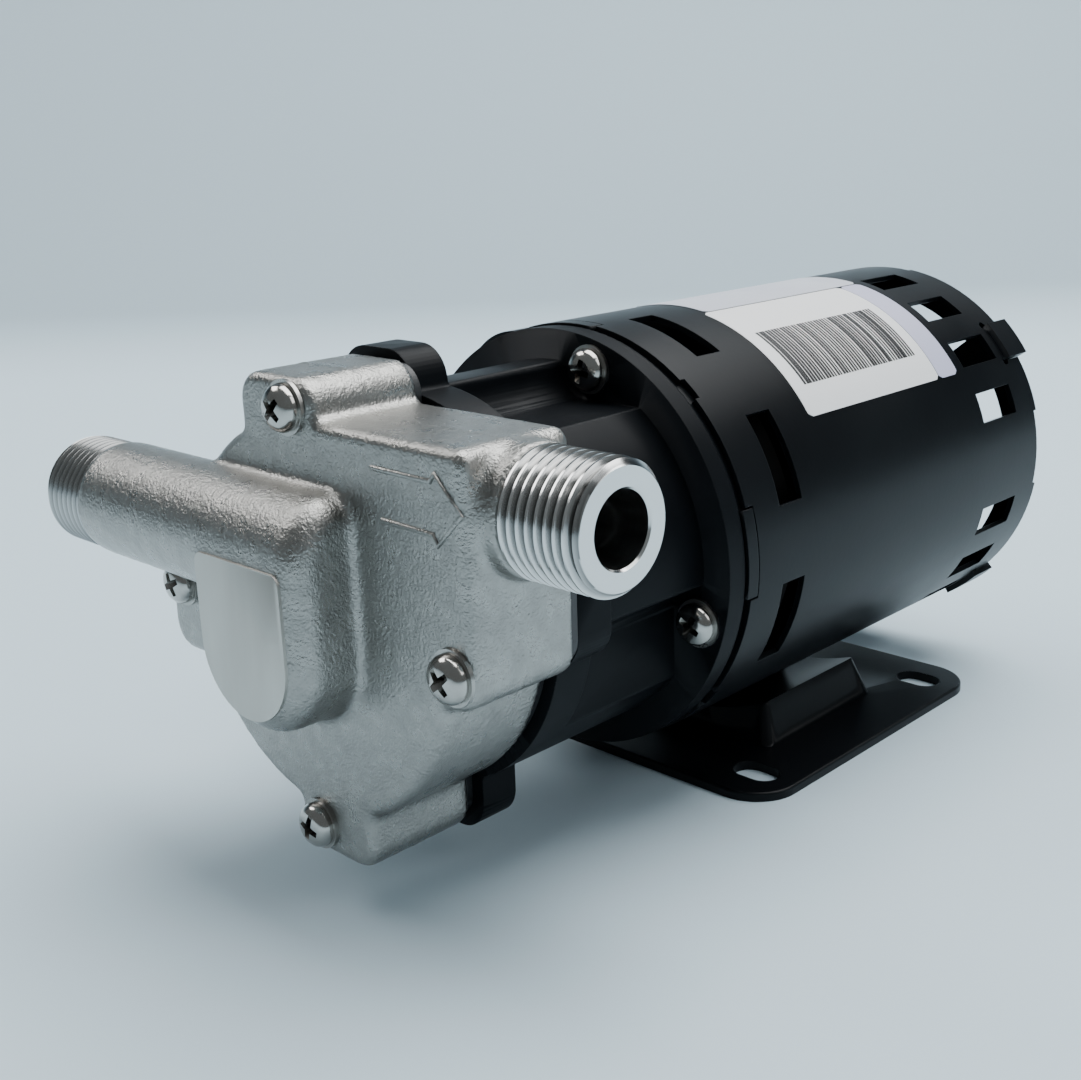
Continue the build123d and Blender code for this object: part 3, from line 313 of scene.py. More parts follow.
def ease(mesh, rounds, strength, hollows_only=False):
    """Draws each point towards its neighbours, or only outwards, which fills sharp hollows."""
    edges = np.empty(len(mesh.edges) * 2, int)
    mesh.edges.foreach_get("vertices", edges)
    ends = np.concatenate((edges[0::2], edges[1::2]))
    others = np.concatenate((edges[1::2], edges[0::2]))
    count = len(mesh.vertices)
    beside = np.bincount(ends, minlength=count)
    for _ in range(rounds):
        points = points_of(mesh)
        total = [np.bincount(ends, points[others, axis], count) for axis in range(3)]
        step = (np.stack(total, 1) / beside[:, None] - points) * strength
        if hollows_only:
            outward = points_of(mesh, "normal")
            lift = np.clip((step * outward).sum(1), 0, None)
            for angle in np.radians(quarter_turns):
                away = np.hypot(
                    points[:, 0] - screw_circle_r * math.cos(angle),
                    points[:, 2] - shaft_height - screw_circle_r * math.sin(angle),
                )
                lift[away < screw_seat_r] = 0
            inner = np.hypot(points[:, 0], points[:, 2] - shaft_height) < chamber_r
            lift[inner & (points[:, 1] > head_front + face_depth)] = 0
            step = outward * lift[:, None]
        mesh.vertices.foreach_set("co", (points + step).ravel())
        mesh.update()


head_skin = skin_of("pump_head")
cut_away(head_skin, (outlet_seat, 0, 0), (1, 0, 0))
cut_away(head_skin, (inlet_seat, 0, 0), (-1, 0, 0))
cut_away(head_skin, (0, pad_back, 0), (0, -1, 0))
head_start = linked("head_start", mesh_from(head_skin, "head_start"))
cast_mesh = with_modifier(head_start, "REMESH", mode="VOXEL", voxel_size=casting_grid)
bpy.data.objects.remove(head_start)
ease(cast_mesh, ease_rounds, ease_share)
ease(cast_mesh, fill_rounds, fill_share, hollows_only=True)
cast_points, cast_normals = points_of(cast_mesh), points_of(cast_mesh, "normal")
dimples = np.empty(len(cast_points))
for number, point in enumerate(cast_points):
    place = Vector(point)
    coarse = coarse_share * noise.noise(place * coarse_dimples)
    dimples[number] = coarse + noise.noise(place * fine_dimples)
from_axis = np.hypot(cast_points[:, 0], cast_points[:, 2] - shaft_height)
on_side = (np.abs(cast_normals[:, 1]) < side_lean) & (from_axis > chamber_r + chamber_wall)
parting = np.exp(-(((cast_points[:, 1] - head_middle) / parting_width) ** 2)) * on_side
outside = (from_axis > chamber_r) | (cast_points[:, 1] < head_front + face_depth)
rise = dimple_height * dimples * outside + parting_height * parting
cast_points += cast_normals * rise[:, None]
cast_mesh.vertices.foreach_set("co", cast_points.ravel())
cast_mesh.shade_smooth()
cast_mesh.update()


def group_with(name, inputs, outputs):
    """A shader node group with its sockets; returns it with its two end nodes."""
    group = bpy.data.node_groups.new(name, "ShaderNodeTree")
    for socket, kind, value in inputs:
        made = group.interface.new_socket(socket, in_out="INPUT", socket_type=kind)
        if value is not None:
            made.default_value = value
    for socket in outputs:
        group.interface.new_socket(socket, in_out="OUTPUT", socket_type="NodeSocketFloat")
    return group, group.nodes.new("NodeGroupInput"), group.nodes.new("NodeGroupOutput")


# patches that drift over a surface, and the fine grain on it
grain_group, grain_in, grain_out = group_with(
    "patches_and_grain",
    (
        ("Vector", "NodeSocketVector", None),
        ("Patch Scale", "NodeSocketFloat", 60.0),
        ("Grain Scale", "NodeSocketFloat", 1500.0),
    ),
    ("Patches", "Grain"),
)
patch_noise = grain_group.nodes.new("ShaderNodeTexNoise")
patch_noise.inputs["Detail"].default_value = 4.0
patch_spread = grain_group.nodes.new("ShaderNodeMapRange")
patch_spread.inputs["From Min"].default_value = 0.3
patch_spread.inputs["From Max"].default_value = 0.7
grain_noise = grain_group.nodes.new("ShaderNodeTexNoise")
grain_noise.inputs["Detail"].default_value = 3.0
grain_noise.inputs["Roughness"].default_value = 0.6
for start, end in (
    (grain_in.outputs["Vector"], patch_noise.inputs["Vector"]),
    (grain_in.outputs["Patch Scale"], patch_noise.inputs["Scale"]),
    (grain_in.outputs["Vector"], grain_noise.inputs["Vector"]),
    (grain_in.outputs["Grain Scale"], grain_noise.inputs["Scale"]),
    (patch_noise.outputs[0], patch_spread.inputs["Value"]),
    (patch_spread.outputs[0], grain_out.inputs["Patches"]),
    (grain_noise.outputs[0], grain_out.inputs["Grain"]),
):
    grain_group.links.new(start, end)


def finished(
    name,
    tones,
    rough,
    metallic=0.0,
    patch=60.0,
    grain=1500.0,
    relief=0.01,
    edge=0.0,
    stretch=(1, 1, 1),
    dimples=None,
    shine=0.5,
):
    """A material whose two tones and roughness drift in patches, with a fine grain in its skin.

    relief is the grain's height and edge the radius that sharp edges look rounded to, both in
    millimetres. stretch scales the grain along X, Y and Z, and dimples gives a second, coarser
    grain's scale and height.
    """
    material, tree, shader = finish_of(name, tones[0], rough[0], metallic)
    new, link = tree.nodes.new, tree.links.new
    shader.inputs["Specular IOR Level"].default_value = shine
    place = new("ShaderNodeTexCoord").outputs["Object"]
    run = new("ShaderNodeMapping")
    run.inputs["Scale"].default_value = stretch
    link(place, run.inputs["Vector"])
    look = new("ShaderNodeGroup")
    look.node_tree = grain_group
    look.inputs["Patch Scale"].default_value = patch
    look.inputs["Grain Scale"].default_value = grain
    link(run.outputs["Vector"], look.inputs["Vector"])
    mix = new("ShaderNodeMix")
    mix.data_type = "RGBA"
    mix.inputs[6].default_value = (*tones[0], 1)
    mix.inputs[7].default_value = (*tones[1], 1)
    link(look.outputs["Patches"], mix.inputs[0])
    link(mix.outputs[2], shader.inputs["Base Color"])
    gloss = new("ShaderNodeMapRange")
    gloss.inputs["To Min"].default_value = rough[0]
    gloss.inputs["To Max"].default_value = rough[1]
    link(look.outputs["Patches"], gloss.inputs["Value"])
    link(gloss.outputs[0], shader.inputs["Roughness"])
    bump = new("ShaderNodeBump")
    bump.inputs["Distance"].default_value = relief * mm
    link(look.outputs["Grain"], bump.inputs["Height"])
    link(bump.outputs["Normal"], shader.inputs["Normal"])
    if edge:
        round_edge = new("ShaderNodeBevel")
        round_edge.samples = 4
        round_edge.inputs["Radius"].default_value = edge * mm
        link(round_edge.outputs["Normal"], bump.inputs["Normal"])
    if dimples is not None:
        coarse = new("ShaderNodeTexNoise")
        coarse.inputs["Scale"].default_value = dimples[0]
        coarse.inputs["Detail"].default_value = 2.0
        link(place, coarse.inputs["Vector"])
        under = new("ShaderNodeBump")
        under.inputs["Distance"].default_value = dimples[1] * mm
        link(coarse.outputs[0], under.inputs["Height"])
        link(under.outputs["Normal"], bump.inputs["Normal"])
    return material


cast_stainless = finished(
    "cast_stainless",
    ((0.36, 0.354, 0.335), (0.305, 0.30, 0.285)),
    (0.25, 0.33),
    metallic=1.0,
    patch=260.0,
    grain=3600.0,
    relief=0.07,
    dimples=(1750.0, 0.18),
)
casting = linked("head_casting", cast_mesh, cast_stainless)
fitted(casting, steady, "head_casting", "pump_head")


# The machined face on the elbow block is ground flat after casting, and shows the belt's faint
# upright marks. It is a little prouder than the skin round it, with a crisp edge.
pad_half_width, pad_low_centre, pad_top = 11.8 * mm, -1.5 * mm, 14.1 * mm
pad_corner_r, pad_sunk = 2.0 * mm, 0.8 * mm
pad_edge, pad_edge_set_in = 0.05 * mm, 0.06 * mm
half_circle_steps, corner_steps = 24, 6


def pad_outline():
    """The pad's outline across and up from the shaft: a half circle below, square above."""
    points = []
    for step in range(half_circle_steps + 1):
        angle = math.radians(180 + 180 * step / half_circle_steps)
        points.append(
            (
                pad_half_width * math.cos(angle),
                pad_low_centre + pad_half_width * math.sin(angle),
            )
        )
    for side, first in ((1, 0), (-1, 90)):
        for step in range(corner_steps + 1):
            angle = math.radians(first + 90 * step / corner_steps)
            points.append(
                (
                    side * (pad_half_width - pad_corner_r) + pad_corner_r * math.cos(angle),
                    pad_top - pad_corner_r + pad_corner_r * math.sin(angle),
                )
            )
    return points


def join_rings(skin, rings):
    """Closes the skin between each ring of points and the next."""
    for near, far in zip(rings, rings[1:]):
        for number in range(len(near)):
            after = (number + 1) % len(near)
            skin.faces.new((near[number], near[after], far[after], far[number]))


pad_skin = bmesh.new()
pad_rims = []
for set_in, back in ((0, pad_sunk), (0, pad_edge), (pad_edge_set_in, 0)):
    share = 1 - set_in / pad_half_width
    pad_rims.append(
        [
            pad_skin.verts.new((x * share, pad_front + back, shaft_height + z * share))
            for x, z in pad_outline()
        ]
    )
join_rings(pad_skin, pad_rims)
pad_skin.faces.new(pad_rims[-1])
pad_skin.faces.new(pad_rims[0])
bmesh.ops.recalc_face_normals(pad_skin, faces=pad_skin.faces)
ground_steel = finished(
    "ground_steel",
    ((0.54, 0.525, 0.49), (0.46, 0.445, 0.415)),
    (0.38, 0.46),
    metallic=1.0,
    patch=60.0,
    grain=1600.0,
    relief=0.006,
    stretch=(1.5, 1, 0.3),
)
pad = linked("machined_pad", mesh_from(pad_skin, "machined_pad", sharp=30), ground_steel)
fitted(pad, steady, "head_casting")


# Both ports end in half-inch pipe thread, cut after casting, with painted shade darkening its
# valleys. Each pipe has a flat mouth, a lead-in chamfer and a small chamfer inside the bore.
thread_pitch = 1.814 * mm
thread_crest_r, thread_root_r, mouth_r, bore_r = 10.48 * mm, 9.32 * mm, 9.3 * mm, 5.9 * mm
thread_profile = ((0.0, 1), (0.1, 1), (0.2, 1), (0.36, 0.5), (0.52, 0), (0.66, 0), (0.83, 0.5))
thread_columns = 144
bore_chamfer = 0.35 * mm
outlet_mouth, inlet_mouth = 61.0 * mm, -65.5 * mm
outlet_axis = (-106.7 * mm, 24.65 * mm + shaft_height)
inlet_axis = (-121.2 * mm, 14.2 * mm + shaft_height)
thread_buried, mouth_face = 0.3 * mm, 0.05 * mm
thread_weld, thread_sliver = 0.0005 * mm, 0.0002 * mm

# fine turned lines round the X axis, on cylinders and on faces
turned_group, turned_in, turned_out = group_with(
    "turned_lines",
    (("Vector", "NodeSocketVector", None), ("Fineness", "NodeSocketFloat", 4000.0)),
    ("Lines",),
)
turned_split = turned_group.nodes.new("ShaderNodeSeparateXYZ")
turned_flat = turned_group.nodes.new("ShaderNodeCombineXYZ")
turned_length = turned_group.nodes.new("ShaderNodeVectorMath")
turned_length.operation = "LENGTH"
turned_join = turned_group.nodes.new("ShaderNodeCombineXYZ")
turned_noise = turned_group.nodes.new("ShaderNodeTexNoise")
turned_noise.inputs["Detail"].default_value = 1.0
for start, end in (
    (turned_in.outputs["Vector"], turned_split.inputs[0]),
    (turned_split.outputs["Y"], turned_flat.inputs["Y"]),
    (turned_split.outputs["Z"], turned_flat.inputs["Z"]),
    (turned_flat.outputs[0], turned_length.inputs[0]),
    (turned_split.outputs["X"], turned_join.inputs["X"]),
    (turned_length.outputs["Value"], turned_join.inputs["Y"]),
    (turned_join.outputs[0], turned_noise.inputs["Vector"]),
    (turned_in.outputs["Fineness"], turned_noise.inputs["Scale"]),
    (turned_noise.outputs[0], turned_out.inputs["Lines"]),
):
    turned_group.links.new(start, end)


def painted_deep_shade(material, attribute, tone):
    """Darkens a material with painted shade where a mesh's attribute says that its surface lies
    deep.
    """
    tree, shader = material.node_tree, material.node_tree.nodes["Principled BSDF"]
    base = shader.inputs["Base Color"]
    mask = tree.nodes.new("ShaderNodeAttribute")
    mask.attribute_name = attribute
    dark = tree.nodes.new("ShaderNodeMix")
    dark.data_type = "RGBA"
    dark.inputs[6].default_value = base.default_value
    if base.links:
        tree.links.new(base.links[0].from_socket, dark.inputs[6])
    dark.inputs[7].default_value = (*tone, 1)
    tree.links.new(mask.outputs["Fac"], dark.inputs[0])
    tree.links.new(dark.outputs[2], base)


def turned(name, color, rough, centre, along_y=False, fineness=4000.0, relief=0.004):
    """A turned metal whose lines run round an axis that passes through a point."""
    material, tree, shader = finish_of(name, color, rough[0], 1.0)
    new, link = tree.nodes.new, tree.links.new
    run = new("ShaderNodeMapping")
    run.vector_type = "TEXTURE"
    run.inputs["Location"].default_value = centre
    if along_y:
        run.inputs["Rotation"].default_value = (0, 0, math.radians(90))
    link(new("ShaderNodeTexCoord").outputs["Object"], run.inputs["Vector"])
    lines = new("ShaderNodeGroup")
    lines.node_tree = turned_group
    lines.inputs["Fineness"].default_value = fineness
    link(run.outputs["Vector"], lines.inputs["Vector"])
    gloss = new("ShaderNodeMapRange")
    gloss.inputs["To Min"].default_value = rough[0]
    gloss.inputs["To Max"].default_value = rough[1]
    link(lines.outputs["Lines"], gloss.inputs["Value"])
    link(gloss.outputs[0], shader.inputs["Roughness"])
    bump = new("ShaderNodeBump")
    bump.inputs["Distance"].default_value = relief * mm
    link(lines.outputs["Lines"], bump.inputs["Height"])
    link(bump.outputs["Normal"], shader.inputs["Normal"])
    return material


def pipe_thread(name, seat, mouth, axis, material):
    """A threaded pipe end along X from its seat in the casting to its mouth."""
    way = 1 if mouth > seat else -1
    length = abs(mouth - seat) + thread_buried
    turns = int(length / thread_pitch) + 2
    skin = bmesh.new()
    columns = []
    for column in range(thread_columns + 1):
        angle = 2 * math.pi * column / thread_columns
        rows = [(0, bore_r)]
        for turn in range(-1, turns):
            for share, height in thread_profile:
                along = (turn + share + column / thread_columns) * thread_pitch
                radius = thread_root_r + (thread_crest_r - thread_root_r) * height
                if along <= 0:
                    along, radius = 0, thread_root_r
                along = min(along, length)
                rows.append((along, min(radius, mouth_r + length - along)))
        rows += [(length, bore_r + bore_chamfer), (length - bore_chamfer, bore_r)]
        ring = []
        for along, radius in rows:
            side, rise = radius * math.cos(angle), radius * math.sin(angle)
            ring.append(
                skin.verts.new((mouth - way * (length - along), axis[0] + side, axis[1] + rise))
            )
        columns.append(ring)
    join_rings(skin, columns)
    bmesh.ops.remove_doubles(skin, verts=skin.verts, dist=thread_weld)
    bmesh.ops.dissolve_degenerate(skin, edges=skin.edges, dist=thread_sliver)
    bmesh.ops.recalc_face_normals(skin, faces=skin.faces)
    mesh = mesh_from(skin, name, sharp=25)
    valley = mesh.attributes.new("valley", "FLOAT", "POINT")
    for number, vertex in enumerate(mesh.vertices):
        radius = math.hypot(vertex.co.y - axis[0], vertex.co.z - axis[1])
        depth = (thread_crest_r - radius) / (thread_crest_r - thread_root_r)
        at_mouth = abs(vertex.co.x - mouth) < mouth_face or radius < bore_r + 2 * bore_chamfer
        valley.data[number].value = 0 if at_mouth else min(max(depth, 0), 1)
    return fitted(linked(name, mesh, material), steady, "head_casting")


# painted light and shade: both threads are one turned steel, made lighter on the outlet and darker
# on the inlet for how each is lit
outlet_lit_steel = turned("outlet_lit_turned_steel", (0.70, 0.70, 0.69), (0.12, 0.24), (0, *outlet_axis))
# painted shade darkens the outlet thread's valleys
painted_deep_shade(outlet_lit_steel, "valley", (0.17, 0.17, 0.167))
pipe_thread("outlet_pipe_thread", outlet_seat, outlet_mouth, outlet_axis, outlet_lit_steel)
inlet_shaded_steel = turned("inlet_shaded_turned_steel", (0.46, 0.46, 0.45), (0.14, 0.26), (0, *inlet_axis))
# painted shade darkens the inlet thread's valleys
painted_deep_shade(inlet_shaded_steel, "valley", (0.045, 0.045, 0.044))
pipe_thread("inlet_pipe_thread", inlet_seat, inlet_mouth, inlet_axis, inlet_shaded_steel)


# A raised arrow on the head's face shows which way the liquid leaves. It is cast with the head as a
# thin rounded ridge, open at its tail.
ridge_width, ridge_height = 0.95 * mm, 0.8 * mm
arrow_points = (
    (22.6, 22.3),
    (34.5, 22.1),
    (35.6, 20.5),
    (41.0, 26.0),
    (35.6, 31.6),
    (34.5, 30.3),
    (20.8, 30.4),
)


def tree_with(name, sockets):
    """A Geometry Nodes tree; returns it, its two end nodes and its inputs' identifiers."""
    tree = bpy.data.node_groups.new(name, "GeometryNodeTree")
    kind = "NodeSocketGeometry"
    tree.interface.new_socket("Geometry", in_out="OUTPUT", socket_type=kind)
    tree.interface.new_socket("Geometry", in_out="INPUT", socket_type=kind)
    keys = {}
    for socket, kind in sockets:
        made = tree.interface.new_socket(socket, in_out="INPUT", socket_type=kind)
        keys[socket] = made.identifier
    return tree, tree.nodes.new("NodeGroupInput"), tree.nodes.new("NodeGroupOutput"), keys


def close_tree(tree, made, material, end):
    """Ends a tree in real geometry with one material."""
    real = tree.nodes.new("GeometryNodeRealizeInstances")
    dress = tree.nodes.new("GeometryNodeSetMaterial")
    tree.links.new(made, real.inputs["Geometry"])
    tree.links.new(real.outputs["Geometry"], dress.inputs["Geometry"])
    tree.links.new(material, dress.inputs["Material"])
    tree.links.new(dress.outputs["Geometry"], end.inputs["Geometry"])


def grown(name, start_mesh, tree, keys, values, sharp=None):
    """A piece with the plain mesh that a tree makes from a starting mesh."""
    start = linked(name + "_start", start_mesh)
    modifier = start.modifiers.new("grown", "NODES")
    modifier.node_group = tree
    for socket, value in values.items():
        modifier[keys[socket]] = value
    bpy.context.view_layer.update()
    shown = start.evaluated_get(bpy.context.evaluated_depsgraph_get())
    mesh = bpy.data.meshes.new_from_object(shown)
    mesh.name = name
    bpy.data.objects.remove(start)
    if sharp is not None:
        mesh.shade_smooth()
        mesh.set_sharp_from_angle(angle=math.radians(sharp))
    return linked(name, mesh)


ridge_tree, ridge_in, ridge_out, ridge_keys = tree_with(
    "cast_ridge",
    (
        ("Ridge Width", "NodeSocketFloat"),
        ("Ridge Height", "NodeSocketFloat"),
        ("Metal", "NodeSocketMaterial"),
    ),
)
ridge_new, ridge_link = ridge_tree.nodes.new, ridge_tree.links.new
ridge_path = ridge_new("GeometryNodeMeshToCurve")
ridge_section = ridge_new("GeometryNodeCurvePrimitiveCircle")
ridge_section.inputs["Resolution"].default_value = 10
ridge_section.inputs["Radius"].default_value = 0.5
ridge_size = ridge_new("ShaderNodeCombineXYZ")
ridge_flat = ridge_new("GeometryNodeTransform")
ridge_sweep = ridge_new("GeometryNodeCurveToMesh")
ridge_sweep.inputs["Fill Caps"].default_value = True
ridge_upright = ridge_new("GeometryNodeSetCurveNormal")
ridge_upright.mode = "Z_UP"
ridge_link(ridge_in.outputs["Geometry"], ridge_path.inputs[0])
ridge_link(ridge_path.outputs[0], ridge_upright.inputs["Curve"])
ridge_link(ridge_in.outputs["Ridge Width"], ridge_size.inputs["X"])
ridge_link(ridge_in.outputs["Ridge Height"], ridge_size.inputs["Y"])
ridge_link(ridge_section.outputs["Curve"], ridge_flat.inputs["Geometry"])
ridge_link(ridge_size.outputs[0], ridge_flat.inputs["Scale"])
ridge_link(ridge_upright.outputs["Curve"], ridge_sweep.inputs["Curve"])
ridge_link(ridge_flat.outputs["Geometry"], ridge_sweep.inputs["Profile Curve"])
close_tree(ridge_tree, ridge_sweep.outputs[0], ridge_in.outputs["Metal"], ridge_out)

# drawn lying flat, so that the ridge's width lies in the face, and then stood up on it
arrow_line = bpy.data.meshes.new("arrow_line")
arrow_line.from_pydata(
    [(x * mm, z * mm, 0) for x, z in arrow_points],
    [(number, number + 1) for number in range(len(arrow_points) - 1)],
    [],
)
arrow = grown(
    "flow_arrow",
    arrow_line,
    ridge_tree,
    ridge_keys,
    {"Ridge Width": ridge_width, "Ridge Height": ridge_height, "Metal": cast_stainless},
    sharp=60,
)
upright = Matrix.Rotation(math.radians(90), 4, "X")
arrow.data.transform(Matrix.Translation((0, head_front, shaft_height)) @ upright)
fitted(arrow, steady, "head_casting")


# Four long screws hold the head and four short ones the motor. They are stainless pan heads with a
# cross recess, pressed cold and tumbled bright, each on a thin stamped washer. Two smaller ones
# hold the lid.
screw_r, recess_depth, recess_r = 2.0 * mm, 1.9 * mm, 2.3 * mm
recess_arm, recess_arm_low = 0.68 * mm, 0.42 * mm
recess_above, recess_lip = 1 * mm, 0.2 * mm
recess_flare, recess_taper, arm_flare, arm_tip = 1.25, 0.42, 1.1, 0.8
shade_top, shade_reach, shade_growth = 0.93, 1.05, 1.5
full_head_r, head_steps, head_sharp = 4.1 * mm, 40, math.radians(32)
# the pan's outline from its crown to its seat, in shares of the head's radius and height
pan_reaches = (0, 0.3, 0.55, 0.75, 0.9, 0.98, 1, 0.985)
pan_heights = (1, 0.985, 0.93, 0.82, 0.62, 0.36, 0.12, 0)


def pan_head_screw(name, head_r, head_height, shank_r, shank_length):
    """A screw that stands on its seat at the origin, its head up along Z, cut by a cross recess."""
    skin = bmesh.new()
    pan = zip(pan_reaches, pan_heights)
    rows = [(head_r * share, head_height * height) for share, height in pan]
    rows += [(shank_r, 0), (shank_r, -shank_length + shank_r / 2), (shank_r / 2, -shank_length)]
    line = [skin.verts.new((radius, 0, height)) for radius, height in rows]
    line.append(skin.verts.new((0, 0, -shank_length)))
    edges = [skin.edges.new(pair) for pair in zip(line, line[1:])]
    bmesh.ops.spin(
        skin,
        geom=line + edges,
        cent=(0, 0, 0),
        axis=(0, 0, 1),
        angle=2 * math.pi,
        steps=head_steps,
    )
    bmesh.ops.remove_doubles(skin, verts=skin.verts, dist=weld_reach)
    bmesh.ops.recalc_face_normals(skin, faces=skin.faces)
    screw = linked(name, mesh_from(skin, name))
    scale = head_r / full_head_r
    cross = bmesh.new()
    loops = []
    for height, reach, arm in (
        (head_height + recess_above, recess_r * recess_flare, recess_arm * arm_flare),
        (head_height - recess_lip, recess_r, recess_arm),
        (head_height - recess_depth * scale, recess_r * recess_taper, recess_arm_low),
    ):
        loop = []
        for quarter in quarter_turns:
            turn = Matrix.Rotation(math.radians(quarter), 3, "Z")
            for x, y in ((arm, -arm), (reach, -arm * arm_tip), (reach, arm * arm_tip)):
                corner = turn @ Vector((x * scale, y * scale, 0))
                loop.append(cross.verts.new((corner.x, corner.y, height)))
        loops.append(loop)
    join_rings(cross, loops)
    cross.faces.new(loops[0])
    cross.faces.new(loops[-1])
    bmesh.ops.recalc_face_normals(cross, faces=cross.faces)
    cutter = linked("recess_cutter", mesh_from(cross, "recess_cutter"))
    mesh = with_modifier(screw, "BOOLEAN", operation="DIFFERENCE", object=cutter, solver="EXACT")
    bpy.data.objects.remove(cutter)
    bpy.data.objects.remove(screw)
    # how deep each point lies in the recess, for the painted shade that darkens it there
    recess_shade = mesh.attributes.new("recess", "FLOAT", "POINT")
    for number, vertex in enumerate(mesh.vertices):
        near = math.hypot(vertex.co.x, vertex.co.y) < recess_r * shade_reach * scale
        deep = (head_height * shade_top - vertex.co.z) / (recess_depth * scale)
        shade = min(max(deep * shade_growth, 0), 1)
        recess_shade.data[number].value = shade if near and vertex.co.z > 0 else 0
    mesh.shade_smooth()
    mesh.set_sharp_from_angle(angle=head_sharp)
    return linked(name, mesh)


screw_tree, screw_in, screw_out, screw_keys = tree_with(
    "screws_on_points",
    (
        ("Screw", "NodeSocketObject"),
        ("Facing", "NodeSocketVector"),
        ("Turn Seed", "NodeSocketInt"),
        ("Metal", "NodeSocketMaterial"),
    ),
)
screw_new, screw_link = screw_tree.nodes.new, screw_tree.links.new
screw_shape = screw_new("GeometryNodeObjectInfo")
screw_align = screw_new("FunctionNodeAlignRotationToVector")
screw_align.axis = "Z"
screw_turn = screw_new("FunctionNodeRandomValue")
screw_turn.data_type = "FLOAT"
screw_turn.inputs[3].default_value = 2 * math.pi
screw_spin = screw_new("ShaderNodeCombineXYZ")
screw_place = screw_new("FunctionNodeRotateRotation")
screw_place.rotation_space = "LOCAL"
screw_copies = screw_new("GeometryNodeInstanceOnPoints")
screw_link(screw_in.outputs["Screw"], screw_shape.inputs["Object"])
screw_link(screw_in.outputs["Facing"], screw_align.inputs["Vector"])
screw_link(screw_in.outputs["Turn Seed"], screw_turn.inputs["Seed"])
screw_link(screw_turn.outputs[1], screw_spin.inputs["Z"])
screw_link(screw_align.outputs[0], screw_place.inputs[0])
screw_link(screw_spin.outputs[0], screw_place.inputs[1])
screw_link(screw_in.outputs["Geometry"], screw_copies.inputs["Points"])
screw_link(screw_shape.outputs["Geometry"], screw_copies.inputs["Instance"])
screw_link(screw_place.outputs[0], screw_copies.inputs["Rotation"])
close_tree(screw_tree, screw_copies.outputs[0], screw_in.outputs["Metal"], screw_out)

screw_stainless = finished(
    "screw_stainless",
    ((0.48, 0.465, 0.44), (0.41, 0.395, 0.37)),
    (0.12, 0.20),
    metallic=1.0,
    patch=400.0,
    grain=1800.0,
    relief=0.004,
)
# painted shade darkens the cross recess of every screw
painted_deep_shade(screw_stainless, "recess", (0.09, 0.083, 0.075))


def set_of_screws(name, node, shape, places, facing, seed):
    """Like screws on a list of seats, all facing one way, each turned by a random angle."""
    start = bpy.data.meshes.new(name + "_places")
    start.from_pydata(places, [], [])
    screw = pan_head_screw(name + "_one", *shape)
    values = {"Screw": screw, "Facing": facing, "Turn Seed": seed, "Metal": screw_stainless}
    screws = grown(name, start, screw_tree, screw_keys, values)
    bpy.data.objects.remove(screw)
    fitted(screws, steady, "screw_steel", node)


def round_places(radius, first, y):
    """Four places a quarter turn apart on a circle round the shaft."""
    angles = [math.radians(first + quarter) for quarter in quarter_turns]
    return [(radius * math.cos(a), y, shaft_height + radius * math.sin(a)) for a in angles]


washer_top, flange_seat, flange_screw_circle_r = -120.2 * mm, -57.4 * mm, 36.7 * mm
set_of_screws(
    "head_pan_screws",
    "head_screws",
    (full_head_r, 2.7 * mm, screw_r, 33.0 * mm),
    round_places(screw_circle_r, 0, washer_top),
    (0, -1, 0),
    seed=11,
)
set_of_screws(
    "bracket_pan_screws",
    "adapter_screws",
    (full_head_r, 2.7 * mm, screw_r, 12.0 * mm),
    round_places(flange_screw_circle_r, 75, flange_seat),
    (0, -1, 0),
    seed=4,
)
lid_face, lid_screw_height, lid_screw_ends = -61.0 * mm, 59.25 * mm, (-16.5 * mm, 31.7 * mm)
set_of_screws(
    "lid_pan_screws",
    "lid_screws",
    (2.9 * mm, 1.9 * mm, 1.5 * mm, 12.0 * mm),
    [(lid_face, y, lid_screw_height) for y in lid_screw_ends],
    (-1, 0, 0),
    seed=7,
)
washer_steel = finished(
    "washer_steel",
    ((0.44, 0.43, 0.41), (0.36, 0.35, 0.33)),
    (0.24, 0.38),
    metallic=1.0,
    patch=300.0,
    grain=2200.0,
    relief=0.006,
)


def redressed(material, *names):
    """Gives CAD nodes whose shape is right a better finish."""
    for name in names:
        nodes[name].data.materials[0] = material


redressed(washer_steel, "head_screw_washers", "adapter_screw_washers", "box_fixing_screws")


# Behind the head come the pressure-moulded can that seals the wet side, with its rim between the
# head and the bracket, and the rubber ring that it squeezes.
true_within, facet_turn = 0.02 * mm, math.radians(10)


def dressed(node, name, material, rolled=False):
    """A CAD node's skin again, joined up and smooth between its sharp edges, in the node's place.

    On a rolled or turned piece, the faces that lie on cylinders round the shaft get true normals.
    """
    body, slot = nodes[node]["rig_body"], nodes[node].data.materials[0].name
    start = linked(name + "_start", mesh_from(skin_of(node), name + "_start", sharp=30))
    mesh = with_modifier(start, "WEIGHTED_NORMAL", keep_sharp=True, weight=50)
    bpy.data.objects.remove(start)
    if rolled:
        normals = [corner.vector.copy() for corner in mesh.corner_normals]
        for polygon in mesh.polygons:
            corners = [mesh.vertices[number].co for number in polygon.vertices]
            reaches = [math.hypot(corner.x, corner.z - shaft_height) for corner in corners]
            if max(reaches) - min(reaches) > true_within:
                continue
            for loop in polygon.loop_indices:
                point = mesh.vertices[mesh.loops[loop].vertex_index].co
                away = Vector((point.x, 0, point.z - shaft_height)).normalized()
                if polygon.normal.dot(away) < 0:
                    away.negate()
                if polygon.normal.dot(away) > math.cos(facet_turn):
                    normals[loop] = away
        mesh.normals_split_custom_set(normals)
    return fitted(linked(name, mesh, material), body, slot, node)


